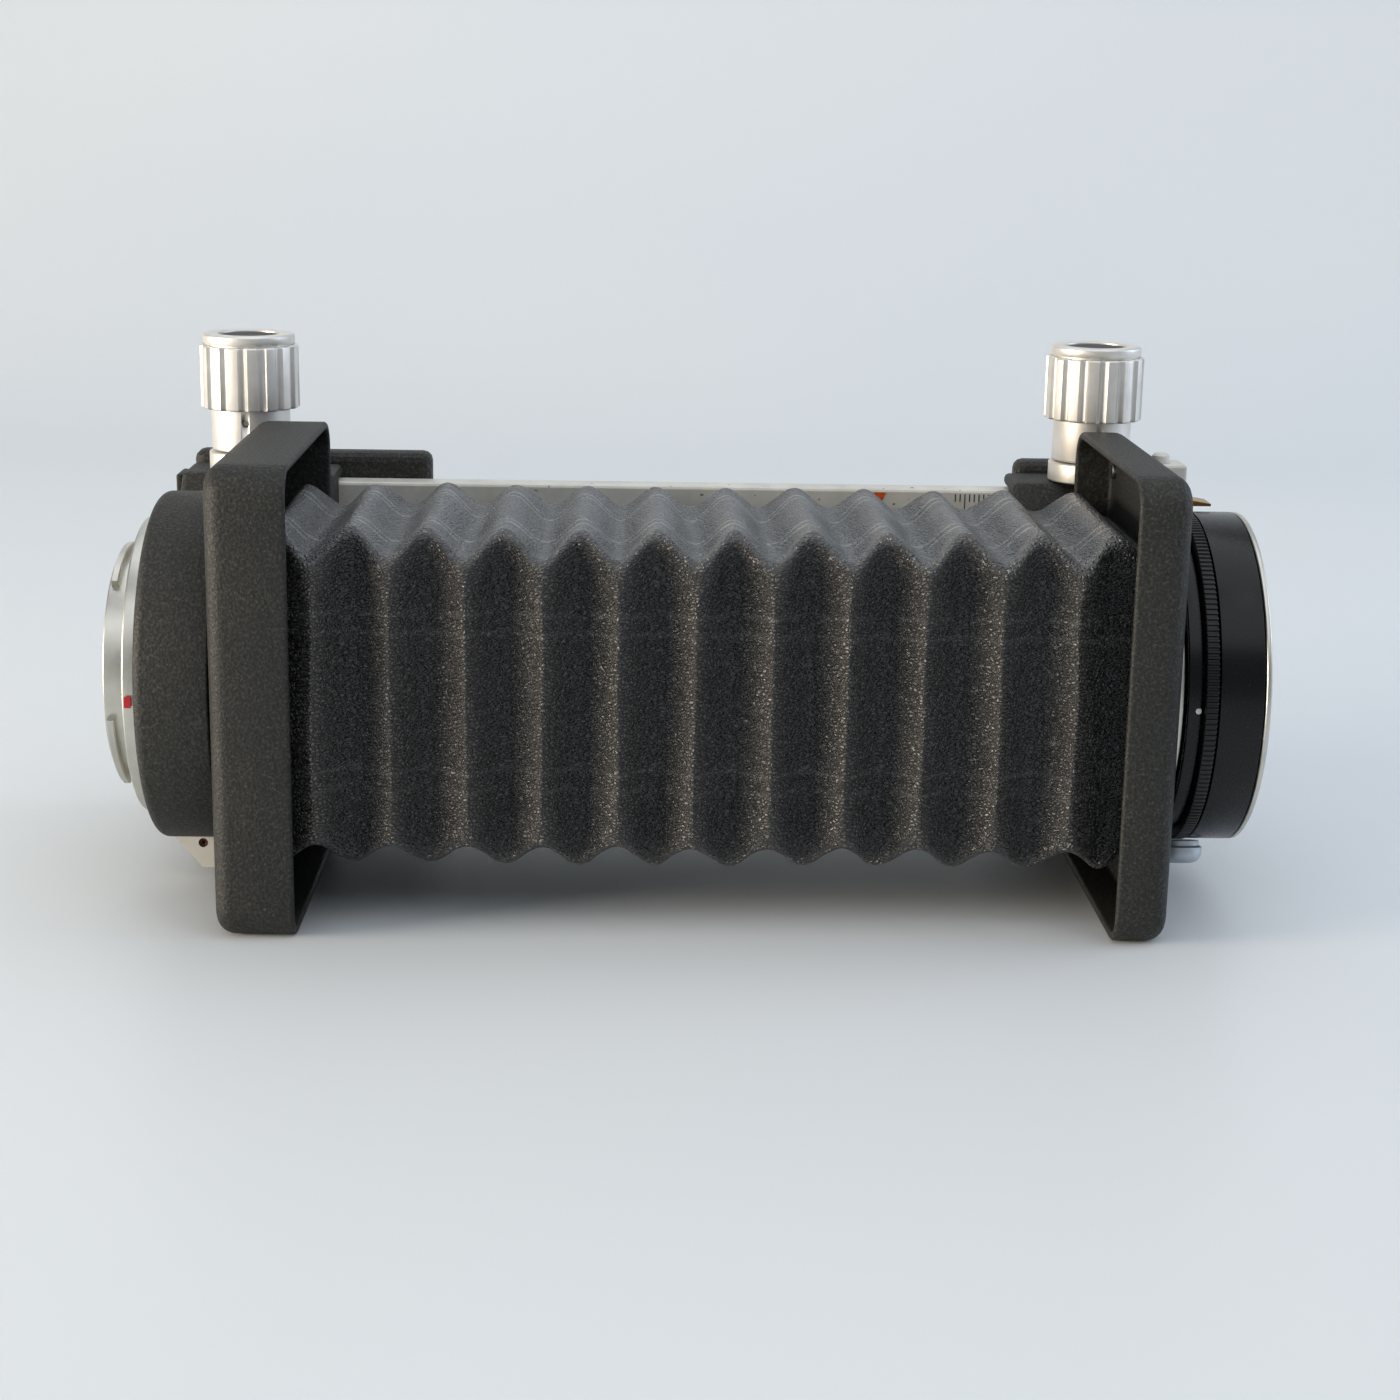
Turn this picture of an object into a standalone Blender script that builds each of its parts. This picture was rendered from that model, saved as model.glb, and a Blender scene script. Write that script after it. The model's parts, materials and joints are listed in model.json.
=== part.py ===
# A bellows focusing attachment for a 35 mm reflex camera, lying on its side.
# X runs along the optical axis from the camera end to the lens end, +Y goes from the
# bellows to the rail and +Z is up. The origin is under the middle of the whole object.
import math

import bmesh
import bpy
from mathutils import Vector

mm = 0.001
gap = 0.3 * mm  # between pieces that touch
slack = 0.15 * mm  # all round a shaft in its hole
roundSteps = 48
smallSteps = 20
overshoot = 5 * mm  # how far a cutter runs past the faces it opens

# Standards: two open shells that hold the bellows
bellowsSpan = 151.9 * mm
standardHeight = 88.0 * mm
standardNear = 36.5 * mm
standardFar = 31.5 * mm
standardCorner = 6.0 * mm
standardWall = 1.6 * mm
standardEdge = 3.4 * mm
plateThick = 2.5 * mm
rearDepth = 14.8 * mm
frontDepth = 10.0 * mm

# Camera end
drumRadius = 33.5 * mm
drumLength = 13.8 * mm
drumNeckRadius = 24.0 * mm
throatRadius = 21.5 * mm
flangeRadius = 28.5 * mm
flangeThick = 2.5 * mm
bayonetRadius = 22.0 * mm
bayonetLength = 4.75 * mm
lugHeight = 1.5 * mm
lugCount = 3
lugAngle = math.radians(52)
lugFirst = math.radians(100)
lugStart = 0.6 * mm  # from the ring's front end
lugThick = 1.4 * mm
bayonetBore = 20.0 * mm
seatRecess = 0.6 * mm  # how deep the bayonet ring sits in its flange
seatClearance = 0.5 * mm
drumShoulder = 1.6 * mm
retainerThick = 1.2 * mm
retainerGap = 0.4 * mm  # in front of the retaining ring, beside the drum's neck
mountClearance = 0.7 * mm  # between that ring and the bellows
retainerRadius = 25.5 * mm
indexAngle = math.radians(181)
indexMark = (1.2 * mm, 0.6 * mm, 2.0 * mm)  # along X, Y and Z
indexClearance = 0.35 * mm

# Lens end: flange on the standard, then the extension ring
lensFlangeRadius = 29.0 * mm
lensFlangeThick = 1.6 * mm
ringRadius = 32.0 * mm
ringBarrelWall = 6.0 * mm
ringCollarStep = 1.6 * mm
ringCollarLength = 3.0 * mm
ringGripLength = 2.7 * mm
ringBarrelLength = 8.4 * mm
ringRimLength = 1.1 * mm
ringSocketRadius = 21.0 * mm
lensThroatRadius = 22.5 * mm
gripRibs = 72
ribDepth = 0.35 * mm
gripProud = 0.2 * mm
socketDepth = 2.5 * mm  # how far the front mount reaches into the barrel
neckThick = 1.7 * mm
neckReach = 1.5 * mm
socketLean = math.radians(14)
socketNeckRadius = 4.0 * mm
socketNeckLength = 1.0 * mm
socketRadius = 4.6 * mm
socketRound = 2.2 * mm  # of its outer end
socketLength = 4.4 * mm
socketShift = 0.7 * mm  # from the barrel's start toward the grip
socketClearance = 0.45 * mm
plungerStart = 1.6 * mm
plungerHole = 1.3 * mm
releaseShift = 10.0 * mm  # of the lens release, away from the near side
releaseRise = 2.2 * mm
releaseHousing = (7.2 * mm, 8.0 * mm, 6.2 * mm)
buttonSetback = 2.7 * mm
buttonRadius = 1.7 * mm
buttonTravel = 1.8 * mm
tongueLength = 12.5 * mm
tongueHalfWidth = 3.0 * mm

# Bellows: square folds whose front ridges meet the top valleys
ridgeCount = 11
ridgeSetback = 3.2 * mm  # first ridge, from the camera end's rim
ridgeEndSpace = 8.7 * mm  # last ridge, from the lens end's rim
foldOuter = 32.0 * mm
foldInner = 26.5 * mm
bellowsWall = 1.2 * mm
mountPlateThick = 1.2 * mm
bellowsClearance = 0.6 * mm
rimClearance = 0.414 * mm  # between the first fold and the far side of the camera end's shell

# Rail, rack and foot
railThick = 6.5 * mm
railHalfWidth = 28.8 * mm
railEndRear = 1.275 * mm  # how far the rail runs past each carriage
railEndFront = 0.525 * mm
rackInset = 0.7 * mm
toothModule = 0.8 * mm
pinionTeeth = 12
rackHalfWidth = 4.8 * mm
stopThick = 1.3 * mm
stopInset = 1.0 * mm  # of its near edge, behind the rail's face
stopRise = 3.0 * mm
stopOverhang = 1.0 * mm
toothTip = 0.9 * toothModule
toothRoot = 1.25 * toothModule
rackBacking = 0.85 * toothModule
footLength = 28.0 * mm
footDepth = 12.0 * mm
footHalfWidth = 18.0 * mm
footBushRadius = 6.5 * mm
footThreadRadius = 3.0 * mm
footShift = 10.0 * mm
bushDepth = 7.7 * mm

# Carriages
carriageLip = 2.9 * mm
carriageSlope = 5.0 * mm
carriageStep = 1.0 * mm
seatInset = 1.0 * mm  # of a saddle's seat from its standard's rim
rearReach = 16.5 * mm  # how far each one runs past its standard, away from the bellows
frontReach = 13.0 * mm
pocketWall = 1.0 * mm
rearPlateReach = 18.7 * mm  # the back plate's length past the standard, over the bellows
frontBlockReach = 11.5 * mm
frontPlateReach = 9.0 * mm
backPlateThick = 6.5 * mm
backPlateRise = 2.4 * mm

# Focus knobs
rearKnobOffset = 2.6 * mm  # from the standard's outer face to the knob's axis, along X
frontKnobOffset = 5.2 * mm
knobRadius = 10.0 * mm
knobLift = 0.9 * mm  # of the grip above the standard's side
knobLength = 15.1 * mm
knobCapHeight = 2.2 * mm
knobRimStep = 0.7 * mm
knobWellRadius = 6.2 * mm
knobWellDepth = 1.0 * mm
knobDiscRadius = 5.9 * mm
knobOverlap = 1.0 * mm  # of the sleeve and rim with the grip
fluteDepth = 0.55 * mm
setScrewDrop = 2.6 * mm
setScrewRadius = 0.6 * mm
fluteCount = 16
sleeveRadius = 8.0 * mm
bearingRadius = 8.6 * mm
bearingHeight = 4.0 * mm
bearingSetback = 0.5 * mm
shaftRadius = 2.0 * mm
pinionHalfWidth = 3.6 * mm

# Clamp knobs under the carriages
clampRadius = 5.0 * mm
clampHeight = 8.0 * mm
clampShank = 1.5 * mm
clampReach = 9.0 * mm
clampFluteDepth = 0.4 * mm
clampFlutes = 18

# Format lever under the camera end
leverThick = 3.0 * mm
leverTop = 1.85 * mm
leverFront = 2.4 * mm
leverCorner = 0.8 * mm
leverTip = (-5.55 * mm, 1.4 * mm)
leverHeel = (-0.05 * mm, -5.05 * mm)
leverTeeth = 7
toothLean = 0.75  # share of a tooth's run before it rises
leverSetback = 7.65 * mm
leverDrop = 2.35 * mm  # of its pivot, below the drum
leverPinRadius = 0.55 * mm
leverHeadRadius = 0.8 * mm
leverHeadHeight = 0.6 * mm
bracketDepth = 3.2 * mm
bracketHalfHeight = 2.0 * mm
bracketReach = 1.6 * mm
bracketEdge = 0.4 * mm

# Worked out from the values above
lensEndLength = lensFlangeThick + gap + ringCollarLength + ringGripLength + ringBarrelLength + ringRimLength
cameraEndLength = bayonetLength + flangeThick + 2 * gap + drumLength
totalLength = cameraEndLength + rearDepth + bellowsSpan + frontDepth + gap + lensEndLength
pinionRadius = toothModule * pinionTeeth / 2
pocketRadius = pinionRadius + 1.3 * toothModule
pinionClear = max(foldOuter + bellowsClearance, drumRadius + gap) + pocketWall + pocketRadius
knobReach = max(standardFar + gap + bearingRadius + bearingSetback, pinionClear)
railFront = knobReach + pinionRadius - rackInset
footBack = railFront + railThick + gap + footDepth
axisY = (standardNear - footBack) / 2
axisZ = standardHeight / 2
cameraEnd = -totalLength / 2
drumBack = cameraEnd + bayonetLength + flangeThick + gap
rearFace = cameraEnd + cameraEndLength
rearRim = rearFace + rearDepth
frontRim = rearRim + bellowsSpan
frontFace = frontRim + frontDepth
lensFlangeX = frontFace + gap
ringStart = lensFlangeX + lensFlangeThick + gap
ringBore = ringRadius - ringBarrelWall
ringCollarRadius = ringRadius - ringCollarStep
knobBottom = standardHeight / 2 + knobLift
knobTop = knobBottom + knobLength
knobY = axisY + knobReach
rackPitchY = knobY + pinionRadius
railY = axisY + railFront
railBack = railY + railThick
backPlateY = railBack + gap
carriageHalf = railHalfWidth + carriageLip
rearEnd = rearFace - rearReach
frontEnd = frontFace + frontReach
railStart = rearEnd - railEndRear
railEnd = frontEnd + railEndFront
railMiddle = (railStart + railEnd) / 2
rearKnobX = rearFace - rearKnobOffset
frontKnobX = frontFace - frontKnobOffset
rearMountX = rearFace + plateThick + retainerGap + gap + retainerThick + mountClearance
frontMountX = frontFace - plateThick - gap - mountPlateThick
bellowsStart = rearMountX + mountPlateThick + gap
bellowsEnd = frontMountX - gap
foldPitch = (bellowsSpan - ridgeSetback - ridgeEndSpace) / (ridgeCount - 1)
firstRidge = rearRim + ridgeSetback
foldDepth = foldOuter - foldInner
rimHalf = standardFar - standardWall - rimClearance
rimCrossing = max(foldOuter - rimHalf, 2 * ridgeSetback * foldDepth / foldPitch)
endFold = ridgeSetback * foldDepth / rimCrossing  # from the first ridge to the valley before it
bellowsMiddle = firstRidge + foldPitch * (ridgeCount // 2)

axes = {
    "X": (Vector((0, 1, 0)), Vector((0, 0, 1)), Vector((1, 0, 0))),
    "Y": (Vector((0, 0, 1)), Vector((1, 0, 0)), Vector((0, 1, 0))),
    "Z": (Vector((1, 0, 0)), Vector((0, 1, 0)), Vector((0, 0, 1))),
}


def makeMaterial(name, colour, roughness, metallic):
    material = bpy.data.materials.new(name)
    material.use_nodes = True
    shader = material.node_tree.nodes["Principled BSDF"]
    shader.inputs["Base Color"].default_value = (*colour, 1)
    shader.inputs["Roughness"].default_value = roughness
    shader.inputs["Metallic"].default_value = metallic
    return material


def makeMaterials():
    return {
        "crinkle": makeMaterial("crinkle_paint", (0.035, 0.034, 0.03), 0.7, 0.0),
        "leather": makeMaterial("bellows_leather", (0.03, 0.029, 0.028), 0.5, 0.0),
        "satin": makeMaterial("satin_chrome", (0.72, 0.71, 0.68), 0.3, 1.0),
        "chrome": makeMaterial("bright_chrome", (0.8, 0.8, 0.8), 0.12, 1.0),
        "black": makeMaterial("black_anodised", (0.015, 0.015, 0.018), 0.3, 0.6),
        "steel": makeMaterial("steel", (0.5, 0.5, 0.5), 0.35, 1.0),
        "brass": makeMaterial("brass", (0.7, 0.5, 0.25), 0.35, 1.0),
        "red": makeMaterial("red_paint", (0.6, 0.02, 0.02), 0.4, 0.0),
    }


def finish(name, mesh, material, origin=(0, 0, 0), helper=False):
    # Turns a bmesh in world coordinates into an object whose origin is given.
    bmesh.ops.recalc_face_normals(mesh, faces=mesh.faces)
    bmesh.ops.translate(mesh, verts=mesh.verts, vec=-Vector(origin))
    data = bpy.data.meshes.new(name)
    mesh.to_mesh(data)
    mesh.free()
    data.shade_smooth()
    data.set_sharp_from_angle(angle=math.radians(30))
    thing = bpy.data.objects.new(name, data)
    thing.location = origin
    bpy.context.scene.collection.objects.link(thing)
    if helper:
        thing.hide_render = True
        thing.display_type = "WIRE"
    else:
        data.materials.append(material)
    return thing


def addRings(mesh, rings, closed):
    # Joins rows of points into a skin; a row of one point closes it to a tip.
    rows = [[mesh.verts.new(point) for point in ring] for ring in rings]
    pairs = list(zip(rows, rows[1:] + rows[:1] if closed else rows[1:]))
    for first, second in pairs:
        count = max(len(first), len(second))
        for i in range(count):
            j = (i + 1) % count
            if len(first) == 1:
                mesh.faces.new((first[0], second[i], second[j]))
            elif len(second) == 1:
                mesh.faces.new((first[i], second[0], first[j]))
            else:
                mesh.faces.new((first[i], second[i], second[j], first[j]))
    return rows


def turned(profile, axis, centre, steps=roundSteps, closed=False):
    # profile holds (distance along the axis, radius); a closed one makes a ring.
    mesh = bmesh.new()
    side, up, along = axes[axis] if isinstance(axis, str) else axis
    rings = []
    for distance, radius in profile:
        count = steps if radius > 1e-6 else 1
        ring = []
        for i in range(count):
            angle = math.tau * i / count
            out = side * math.cos(angle) + up * math.sin(angle)
            ring.append(Vector(centre) + along * distance + out * radius)
        rings.append(ring)
    addRings(mesh, rings, closed)
    return mesh


def rod(axis, centre, start, end, radius, steps=smallSteps, chamfer=0.0):
    profile = [(start, 0), (start, radius - chamfer)]
    if chamfer:
        profile += [(start + chamfer, radius), (end - chamfer, radius)]
    profile += [(end, radius - chamfer), (end, 0)]
    return turned(profile, axis, centre, steps)


def tube(axis, centre, start, end, inner, outer, steps=roundSteps, chamfer=0.0):
    profile = [(start, inner), (start, outer - chamfer)]
    if chamfer:
        profile += [(start + chamfer, outer), (end - chamfer, outer)]
    profile += [(end, outer - chamfer), (end, inner)]
    return turned(profile, axis, centre, steps, closed=True)


def prism(outline, axis, start, end):
    # outline is in the two directions across the axis, measured from the world origin.
    mesh = bmesh.new()
    side, up, along = axes[axis]
    rows = [
        [mesh.verts.new(side * a + up * b + along * level) for a, b in outline]
        for level in (start, end)
    ]
    mesh.faces.new(rows[0])
    mesh.faces.new(reversed(rows[1]))
    for i in range(len(outline)):
        j = (i + 1) % len(outline)
        mesh.faces.new((rows[0][i], rows[1][i], rows[1][j], rows[0][j]))
    return mesh


def block(x0, x1, y0, y1, z0, z1):
    return prism([(y0, z0), (y1, z0), (y1, z1), (y0, z1)], "X", x0, x1)


def roundedOutline(y0, y1, z0, z1, radius, steps=6):
    points = []
    corners = ((y1, z1, 0), (y0, z1, 90), (y0, z0, 180), (y1, z0, 270))
    for y, z, start in corners:
        cy = y - math.copysign(radius, y - (y0 + y1) / 2)
        cz = z - math.copysign(radius, z - (z0 + z1) / 2)
        for i in range(steps + 1):
            angle = math.radians(start + 90 * i / steps)
            points.append((cy + radius * math.cos(angle), cz + radius * math.sin(angle)))
    return points


def bevelled(thing, width, segments=2, angle=40):
    modifier = thing.modifiers.new("edge", "BEVEL")
    modifier.width = width
    modifier.segments = segments
    modifier.limit_method = "ANGLE"
    modifier.angle_limit = math.radians(angle)
    return thing


def cut(thing, name, mesh):
    cutter = finish(name, mesh, None, helper=True)
    modifier = thing.modifiers.new(name, "BOOLEAN")
    modifier.operation = "DIFFERENCE"
    modifier.solver = "EXACT"
    modifier.object = cutter
    return thing


def addUnion(thing, name, mesh):
    extra = finish(name, mesh, None, helper=True)
    modifier = thing.modifiers.new(name, "BOOLEAN")
    modifier.operation = "UNION"
    modifier.solver = "EXACT"
    modifier.object = extra
    return thing


def rail(paint):
    plate = finish(
        "rail_plate",
        block(railStart, railEnd, railY, railBack, axisZ - railHalfWidth, axisZ + railHalfWidth),
        paint["satin"],
    )
    bevelled(plate, 0.6 * mm)
    grooveBack = rackPitchY + toothRoot + rackBacking + gap
    grooveHalf = rackHalfWidth + gap
    groove = block(
        -totalLength, totalLength, railY - railThick, grooveBack, axisZ - grooveHalf, axisZ + grooveHalf
    )
    cut(plate, "rack_groove", groove)
    # Stop plates screwed to the rail's ends
    for name, end, side in (("rail_stop_rear", railStart, -1), ("rail_stop_front", railEnd, 1)):
        ends = sorted((end + side * gap, end + side * (gap + stopThick)))
        stop = block(
            *ends, railY + stopInset, railBack + stopRise, axisZ - railHalfWidth - stopOverhang,
            axisZ + railHalfWidth + stopOverhang
        )
        bevelled(finish(name, stop, paint["satin"]), 0.4 * mm)


def rack(paint):
    pitch = math.pi * toothModule
    count = int((railEnd - railStart - 2 * gap) / pitch)
    count -= 1 - count % 2
    half = count * pitch / 2
    tip = rackPitchY - toothTip
    root = rackPitchY + toothRoot
    outline = []
    for i in range(count):
        centre = railMiddle - half + pitch * (i + 0.5)
        for shift, level in ((-0.5, root), (-0.36, root), (-0.12, tip), (0.12, tip), (0.36, root)):
            outline.append((centre + shift * pitch, level))
    back = root + rackBacking
    outline += [(railMiddle + half, root), (railMiddle + half, back), (railMiddle - half, back)]
    mesh = prism(outline, "Z", axisZ - rackHalfWidth, axisZ + rackHalfWidth)
    finish("rail_rack", mesh, paint["steel"])


def tripodFoot(paint):
    centre = (footShift, 0, axisZ)
    foot = finish(
        "tripod_foot",
        block(
            footShift - footLength / 2, footShift + footLength / 2, backPlateY,
            backPlateY + footDepth, axisZ - footHalfWidth, axisZ + footHalfWidth
        ),
        paint["crinkle"],
    )
    bevelled(foot, 1.2 * mm)
    footEnd = backPlateY + footDepth
    hole = rod("Y", centre, footEnd - bushDepth - gap, footEnd + overshoot, footBushRadius + gap)
    cut(foot, "bush_hole", hole)
    bush = tube("Y", centre, footEnd - bushDepth, footEnd, footThreadRadius, footBushRadius, 24, 0.3 * mm)
    finish("tripod_bush", bush, paint["steel"])


def standardShell(name, face, rim, paint):
    # A shell open toward the bellows, with a round throat in its plate.
    inward = math.copysign(1, rim - face)
    outline = roundedOutline(
        axisY - standardNear, axisY + standardFar, 0, standardHeight, standardCorner
    )
    levels = sorted((face, rim))
    shell = finish(name, prism(outline, "X", *levels), paint["crinkle"])
    # Only the edge round the plate is rounded; the rim stays crisp
    weights = shell.data.attributes.new("bevel_weight_edge", "FLOAT", "EDGE")
    for edge in shell.data.edges:
        ends = [shell.data.vertices[i].co.x for i in edge.vertices]
        if all(abs(x - face) < 1e-6 for x in ends):
            weights.data[edge.index].value = 1
    edgeRound = shell.modifiers.new("outer_edge", "BEVEL")
    edgeRound.limit_method = "WEIGHT"
    edgeRound.width = standardEdge
    edgeRound.segments = 4
    edgeRound.use_clamp_overlap = False
    cavity = roundedOutline(
        axisY - standardNear + standardWall, axisY + standardFar - standardWall,
        standardWall, standardHeight - standardWall, standardCorner - standardWall
    )
    floor = face + inward * plateThick
    cut(shell, name + "_cavity", prism(cavity, "X", *sorted((floor, rim + inward * overshoot))))
    ends = sorted((face - inward * overshoot, floor + inward * overshoot))
    throat = rod("X", (0, axisY, axisZ), *ends, drumNeckRadius + gap, roundSteps)
    cut(shell, name + "_throat", throat)
    return shell


def mountPlate(name, x, paint):
    # The flat frame that clamps the end of the bellows
    half = foldInner
    plate = finish(
        name, block(x, x + mountPlateThick, axisY - half, axisY + half, axisZ - half, axisZ + half),
        paint["black"],
    )
    window = rod("X", (0, axisY, axisZ), x - overshoot, x + overshoot, throatRadius, roundSteps)
    cut(plate, name + "_window", window)


def carriage(side, blockEnds, plateEnds, seatEnds, knobX, paint):
    # Front half: a saddle that wraps the rail's edges and holds the pinion; a raised seat on it
    # meets the standard, and the rest stands clear of the folds and the extension ring
    near = axisY + max(standardFar + gap, foldOuter + bellowsClearance)
    inner = railY - gap
    top = axisZ + carriageHalf
    edge = axisZ + railHalfWidth + gap
    upper = [
        (near, top - carriageSlope - carriageStep), (near + carriageSlope - 0.5 * mm, top),
        (railBack, top), (railBack, edge), (inner, edge),
    ]
    lower = [(y, 2 * axisZ - z) for y, z in reversed(upper)]
    saddle = finish(side + "_carriage_saddle", prism(upper + lower, "X", *blockEnds), paint["crinkle"])
    bevelled(saddle, 1.0 * mm)
    seatHalf = carriageHalf - carriageSlope - 2 * carriageStep
    seat = block(
        *seatEnds, axisY + standardFar + gap, near + carriageStep, axisZ - seatHalf, axisZ + seatHalf
    )
    addUnion(saddle, side + "_seat", seat)
    if side == "rear":
        relief = rod("X", (0, axisY, axisZ), -totalLength, rearFace, drumRadius + gap, roundSteps)
        cut(saddle, "drum_relief", relief)
    centre = (knobX, knobY, axisZ)
    bore = rod("Z", centre, -2 * carriageHalf, 2 * carriageHalf, shaftRadius + slack)
    cut(saddle, side + "_shaft_bore", bore)
    pocket = rod("Z", centre, -pinionHalfWidth - gap, pinionHalfWidth + gap, pocketRadius, 28)
    cut(saddle, side + "_pinion_pocket", pocket)
    # Back half: a plate behind the rail
    rise = carriageHalf + backPlateRise
    mesh = block(*plateEnds, backPlateY, backPlateY + backPlateThick, axisZ - rise, axisZ + rise)
    bevelled(finish(side + "_carriage_plate", mesh, paint["crinkle"]), 2.0 * mm, 3)


def knobBearing(side, knobX, paint):
    start = carriageHalf + gap
    bearing = tube(
        "Z", (knobX, knobY, axisZ), start, start + bearingHeight, shaftRadius + slack, bearingRadius,
        roundSteps, 0.35 * mm
    )
    finish(side + "_knob_bearing", bearing, paint["satin"])


def flutedOutline(x, y, radius, depth, count):
    # Flats and shallow round flutes by turns
    points = []
    for i in range(count):
        for share, dip in ((0.0, 0), (0.42, 0), (0.5, 0.5), (0.62, 0.95), (0.8, 0.95), (0.92, 0.5)):
            angle = math.tau * (i + share) / count
            reach = radius - depth * dip
            points.append((x + reach * math.cos(angle), y + reach * math.sin(angle)))
    return points


def focusKnob(side, knobX, paint):
    centre = Vector((knobX, knobY, axisZ))
    start = carriageHalf + gap + bearingHeight + gap
    fluteTop = knobTop - knobCapHeight
    outline = flutedOutline(knobX, knobY, knobRadius, fluteDepth, fluteCount)
    knob = finish(
        side + "_focus_knob", prism(outline, "Z", axisZ + knobBottom, axisZ + fluteTop),
        paint["satin"], centre,
    )
    # The turned sleeve below and the rim above are one piece with the grip
    rimRadius = knobRadius - knobRimStep
    wellFloor = knobTop - knobWellDepth
    rim = [
        (start, shaftRadius + slack), (start, sleeveRadius - 0.3 * mm), (start + 0.3 * mm, sleeveRadius),
        (knobBottom + knobOverlap, sleeveRadius), (fluteTop - knobOverlap, sleeveRadius),
        (fluteTop - knobOverlap, rimRadius), (knobTop - 0.5 * mm, rimRadius),
        (knobTop, rimRadius - 0.5 * mm), (knobTop, knobWellRadius), (wellFloor, knobWellRadius),
        (wellFloor, shaftRadius + slack),
    ]
    body = finish(side + "_knob_body", turned(rim, "Z", centre, closed=True), None, helper=True)
    hole = finish(
        side + "_knob_bore", rod("Z", centre, 0, 2 * knobTop, shaftRadius + slack / 2), None, helper=True
    )
    for label, operation, other in (("bore", "DIFFERENCE", hole), ("body", "UNION", body)):
        modifier = knob.modifiers.new(label, "BOOLEAN")
        modifier.operation = operation
        modifier.solver = "EXACT"
        modifier.object = other
    screwAt = (knobX, knobY, axisZ + knobBottom - setScrewDrop)
    hole = rod("Y", screwAt, -sleeveRadius - overshoot, -shaftRadius, setScrewRadius + slack, 12)
    cut(knob, side + "_screw_hole", hole)
    screw = rod("Y", screwAt, -sleeveRadius + 1.2 * mm, -shaftRadius - 0.5 * mm, setScrewRadius, 10)
    finish(side + "_knob_set_screw", screw, paint["steel"], centre)
    cap = rod("Z", centre, wellFloor + gap, knobTop - 0.25 * mm, knobDiscRadius, 32)
    finish(side + "_knob_cap", cap, paint["black"], centre)


def pinionShaft(side, knobX, paint):
    # The gap between two teeth faces the rack tooth at the same place along the rail
    centre = Vector((knobX, knobY, axisZ))
    gearPitch = math.tau / pinionTeeth
    turn = math.pi / 2 + (knobX - railMiddle) / pinionRadius
    root = pinionRadius - 1.2 * toothModule
    tip = pinionRadius + 0.85 * toothModule
    outline = []
    for i in range(pinionTeeth):
        middle = turn + gearPitch * (i + 0.5)
        for share, radius in (
            (-0.34, root), (-0.2, pinionRadius), (-0.09, tip), (0.09, tip), (0.2, pinionRadius),
            (0.34, root),
        ):
            angle = middle + share * gearPitch
            outline.append((knobX + radius * math.cos(angle), knobY + radius * math.sin(angle)))
    shaft = finish(
        side + "_pinion_shaft",
        prism(outline, "Z", axisZ - pinionHalfWidth, axisZ + pinionHalfWidth), paint["steel"], centre,
    )
    top = knobTop - knobWellDepth - gap
    addUnion(shaft, side + "_shaft", rod("Z", centre, -carriageHalf, top, shaftRadius, smallSteps))


def clampKnob(side, x, paint):
    # A knurled screw under the carriage that presses a pad on the rail's edge
    under = axisZ - carriageHalf - backPlateRise
    y = backPlateY + backPlateThick / 2
    centre = Vector((x, y, under - gap))
    outline = flutedOutline(x, y, clampRadius, clampFluteDepth, clampFlutes)
    knob = finish(
        side + "_clamp_knob", prism(outline, "Z", centre.z - clampHeight, centre.z),
        paint["satin"], centre,
    )
    addUnion(knob, side + "_clamp_shank", rod("Z", centre, -1 * mm, clampReach, clampShank))
    hole = rod("Z", centre, -overshoot, clampReach + 0.5 * mm, clampShank + slack)
    cut(bpy.data.objects[side + "_carriage_plate"], side + "_clamp_hole", hole)


def cameraMount(paint):
    centre = (drumBack, axisY, axisZ)
    neckEnd = drumLength + gap + plateThick + retainerGap
    drum = [
        (0, throatRadius), (0, drumRadius - drumShoulder), (0.5 * mm, drumRadius - 0.6 * mm),
        (drumShoulder, drumRadius), (drumLength, drumRadius), (drumLength, drumNeckRadius),
        (neckEnd, drumNeckRadius), (neckEnd, throatRadius),
    ]
    finish("camera_mount_drum", turned(drum, "X", centre, closed=True), paint["crinkle"], centre)
    ringAt = neckEnd + gap
    retainer = tube("X", centre, ringAt, ringAt + retainerThick, throatRadius, retainerRadius)
    finish("drum_retaining_ring", retainer, paint["steel"], centre)
    # The bayonet ring sits in a recess in its flange
    front = -gap - flangeThick
    seatRadius = bayonetRadius + lugHeight + seatClearance
    edge = 0.4 * mm
    flange = [
        (front, seatRadius), (front, flangeRadius - edge), (front + edge, flangeRadius),
        (-gap - edge, flangeRadius), (-gap, flangeRadius - edge), (-gap, bayonetBore),
        (front + seatRecess, bayonetBore), (front + seatRecess, seatRadius),
    ]
    finish("camera_flange", turned(flange, "X", centre, closed=True), paint["chrome"], centre)
    start = front - bayonetLength
    ringMesh = tube(
        "X", centre, start, front + seatRecess - gap, bayonetBore, bayonetRadius, chamfer=0.25 * mm
    )
    bayonet = finish("camera_bayonet", ringMesh, paint["chrome"], centre)
    arcSteps = 8
    for i in range(lugCount):
        middle = lugFirst + math.tau * i / lugCount
        outline = []
        for radius, way in ((bayonetRadius + lugHeight, 1), (bayonetRadius - 0.8 * mm, -1)):
            for k in range(arcSteps + 1):
                angle = middle + way * lugAngle * (k / arcSteps - 0.5)
                outline.append((axisY + radius * math.cos(angle), axisZ + radius * math.sin(angle)))
        lug = prism(outline, "X", cameraEnd + lugStart, cameraEnd + lugStart + lugThick)
        addUnion(bayonet, "bayonet_lug_%d" % (i + 1), lug)


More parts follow.
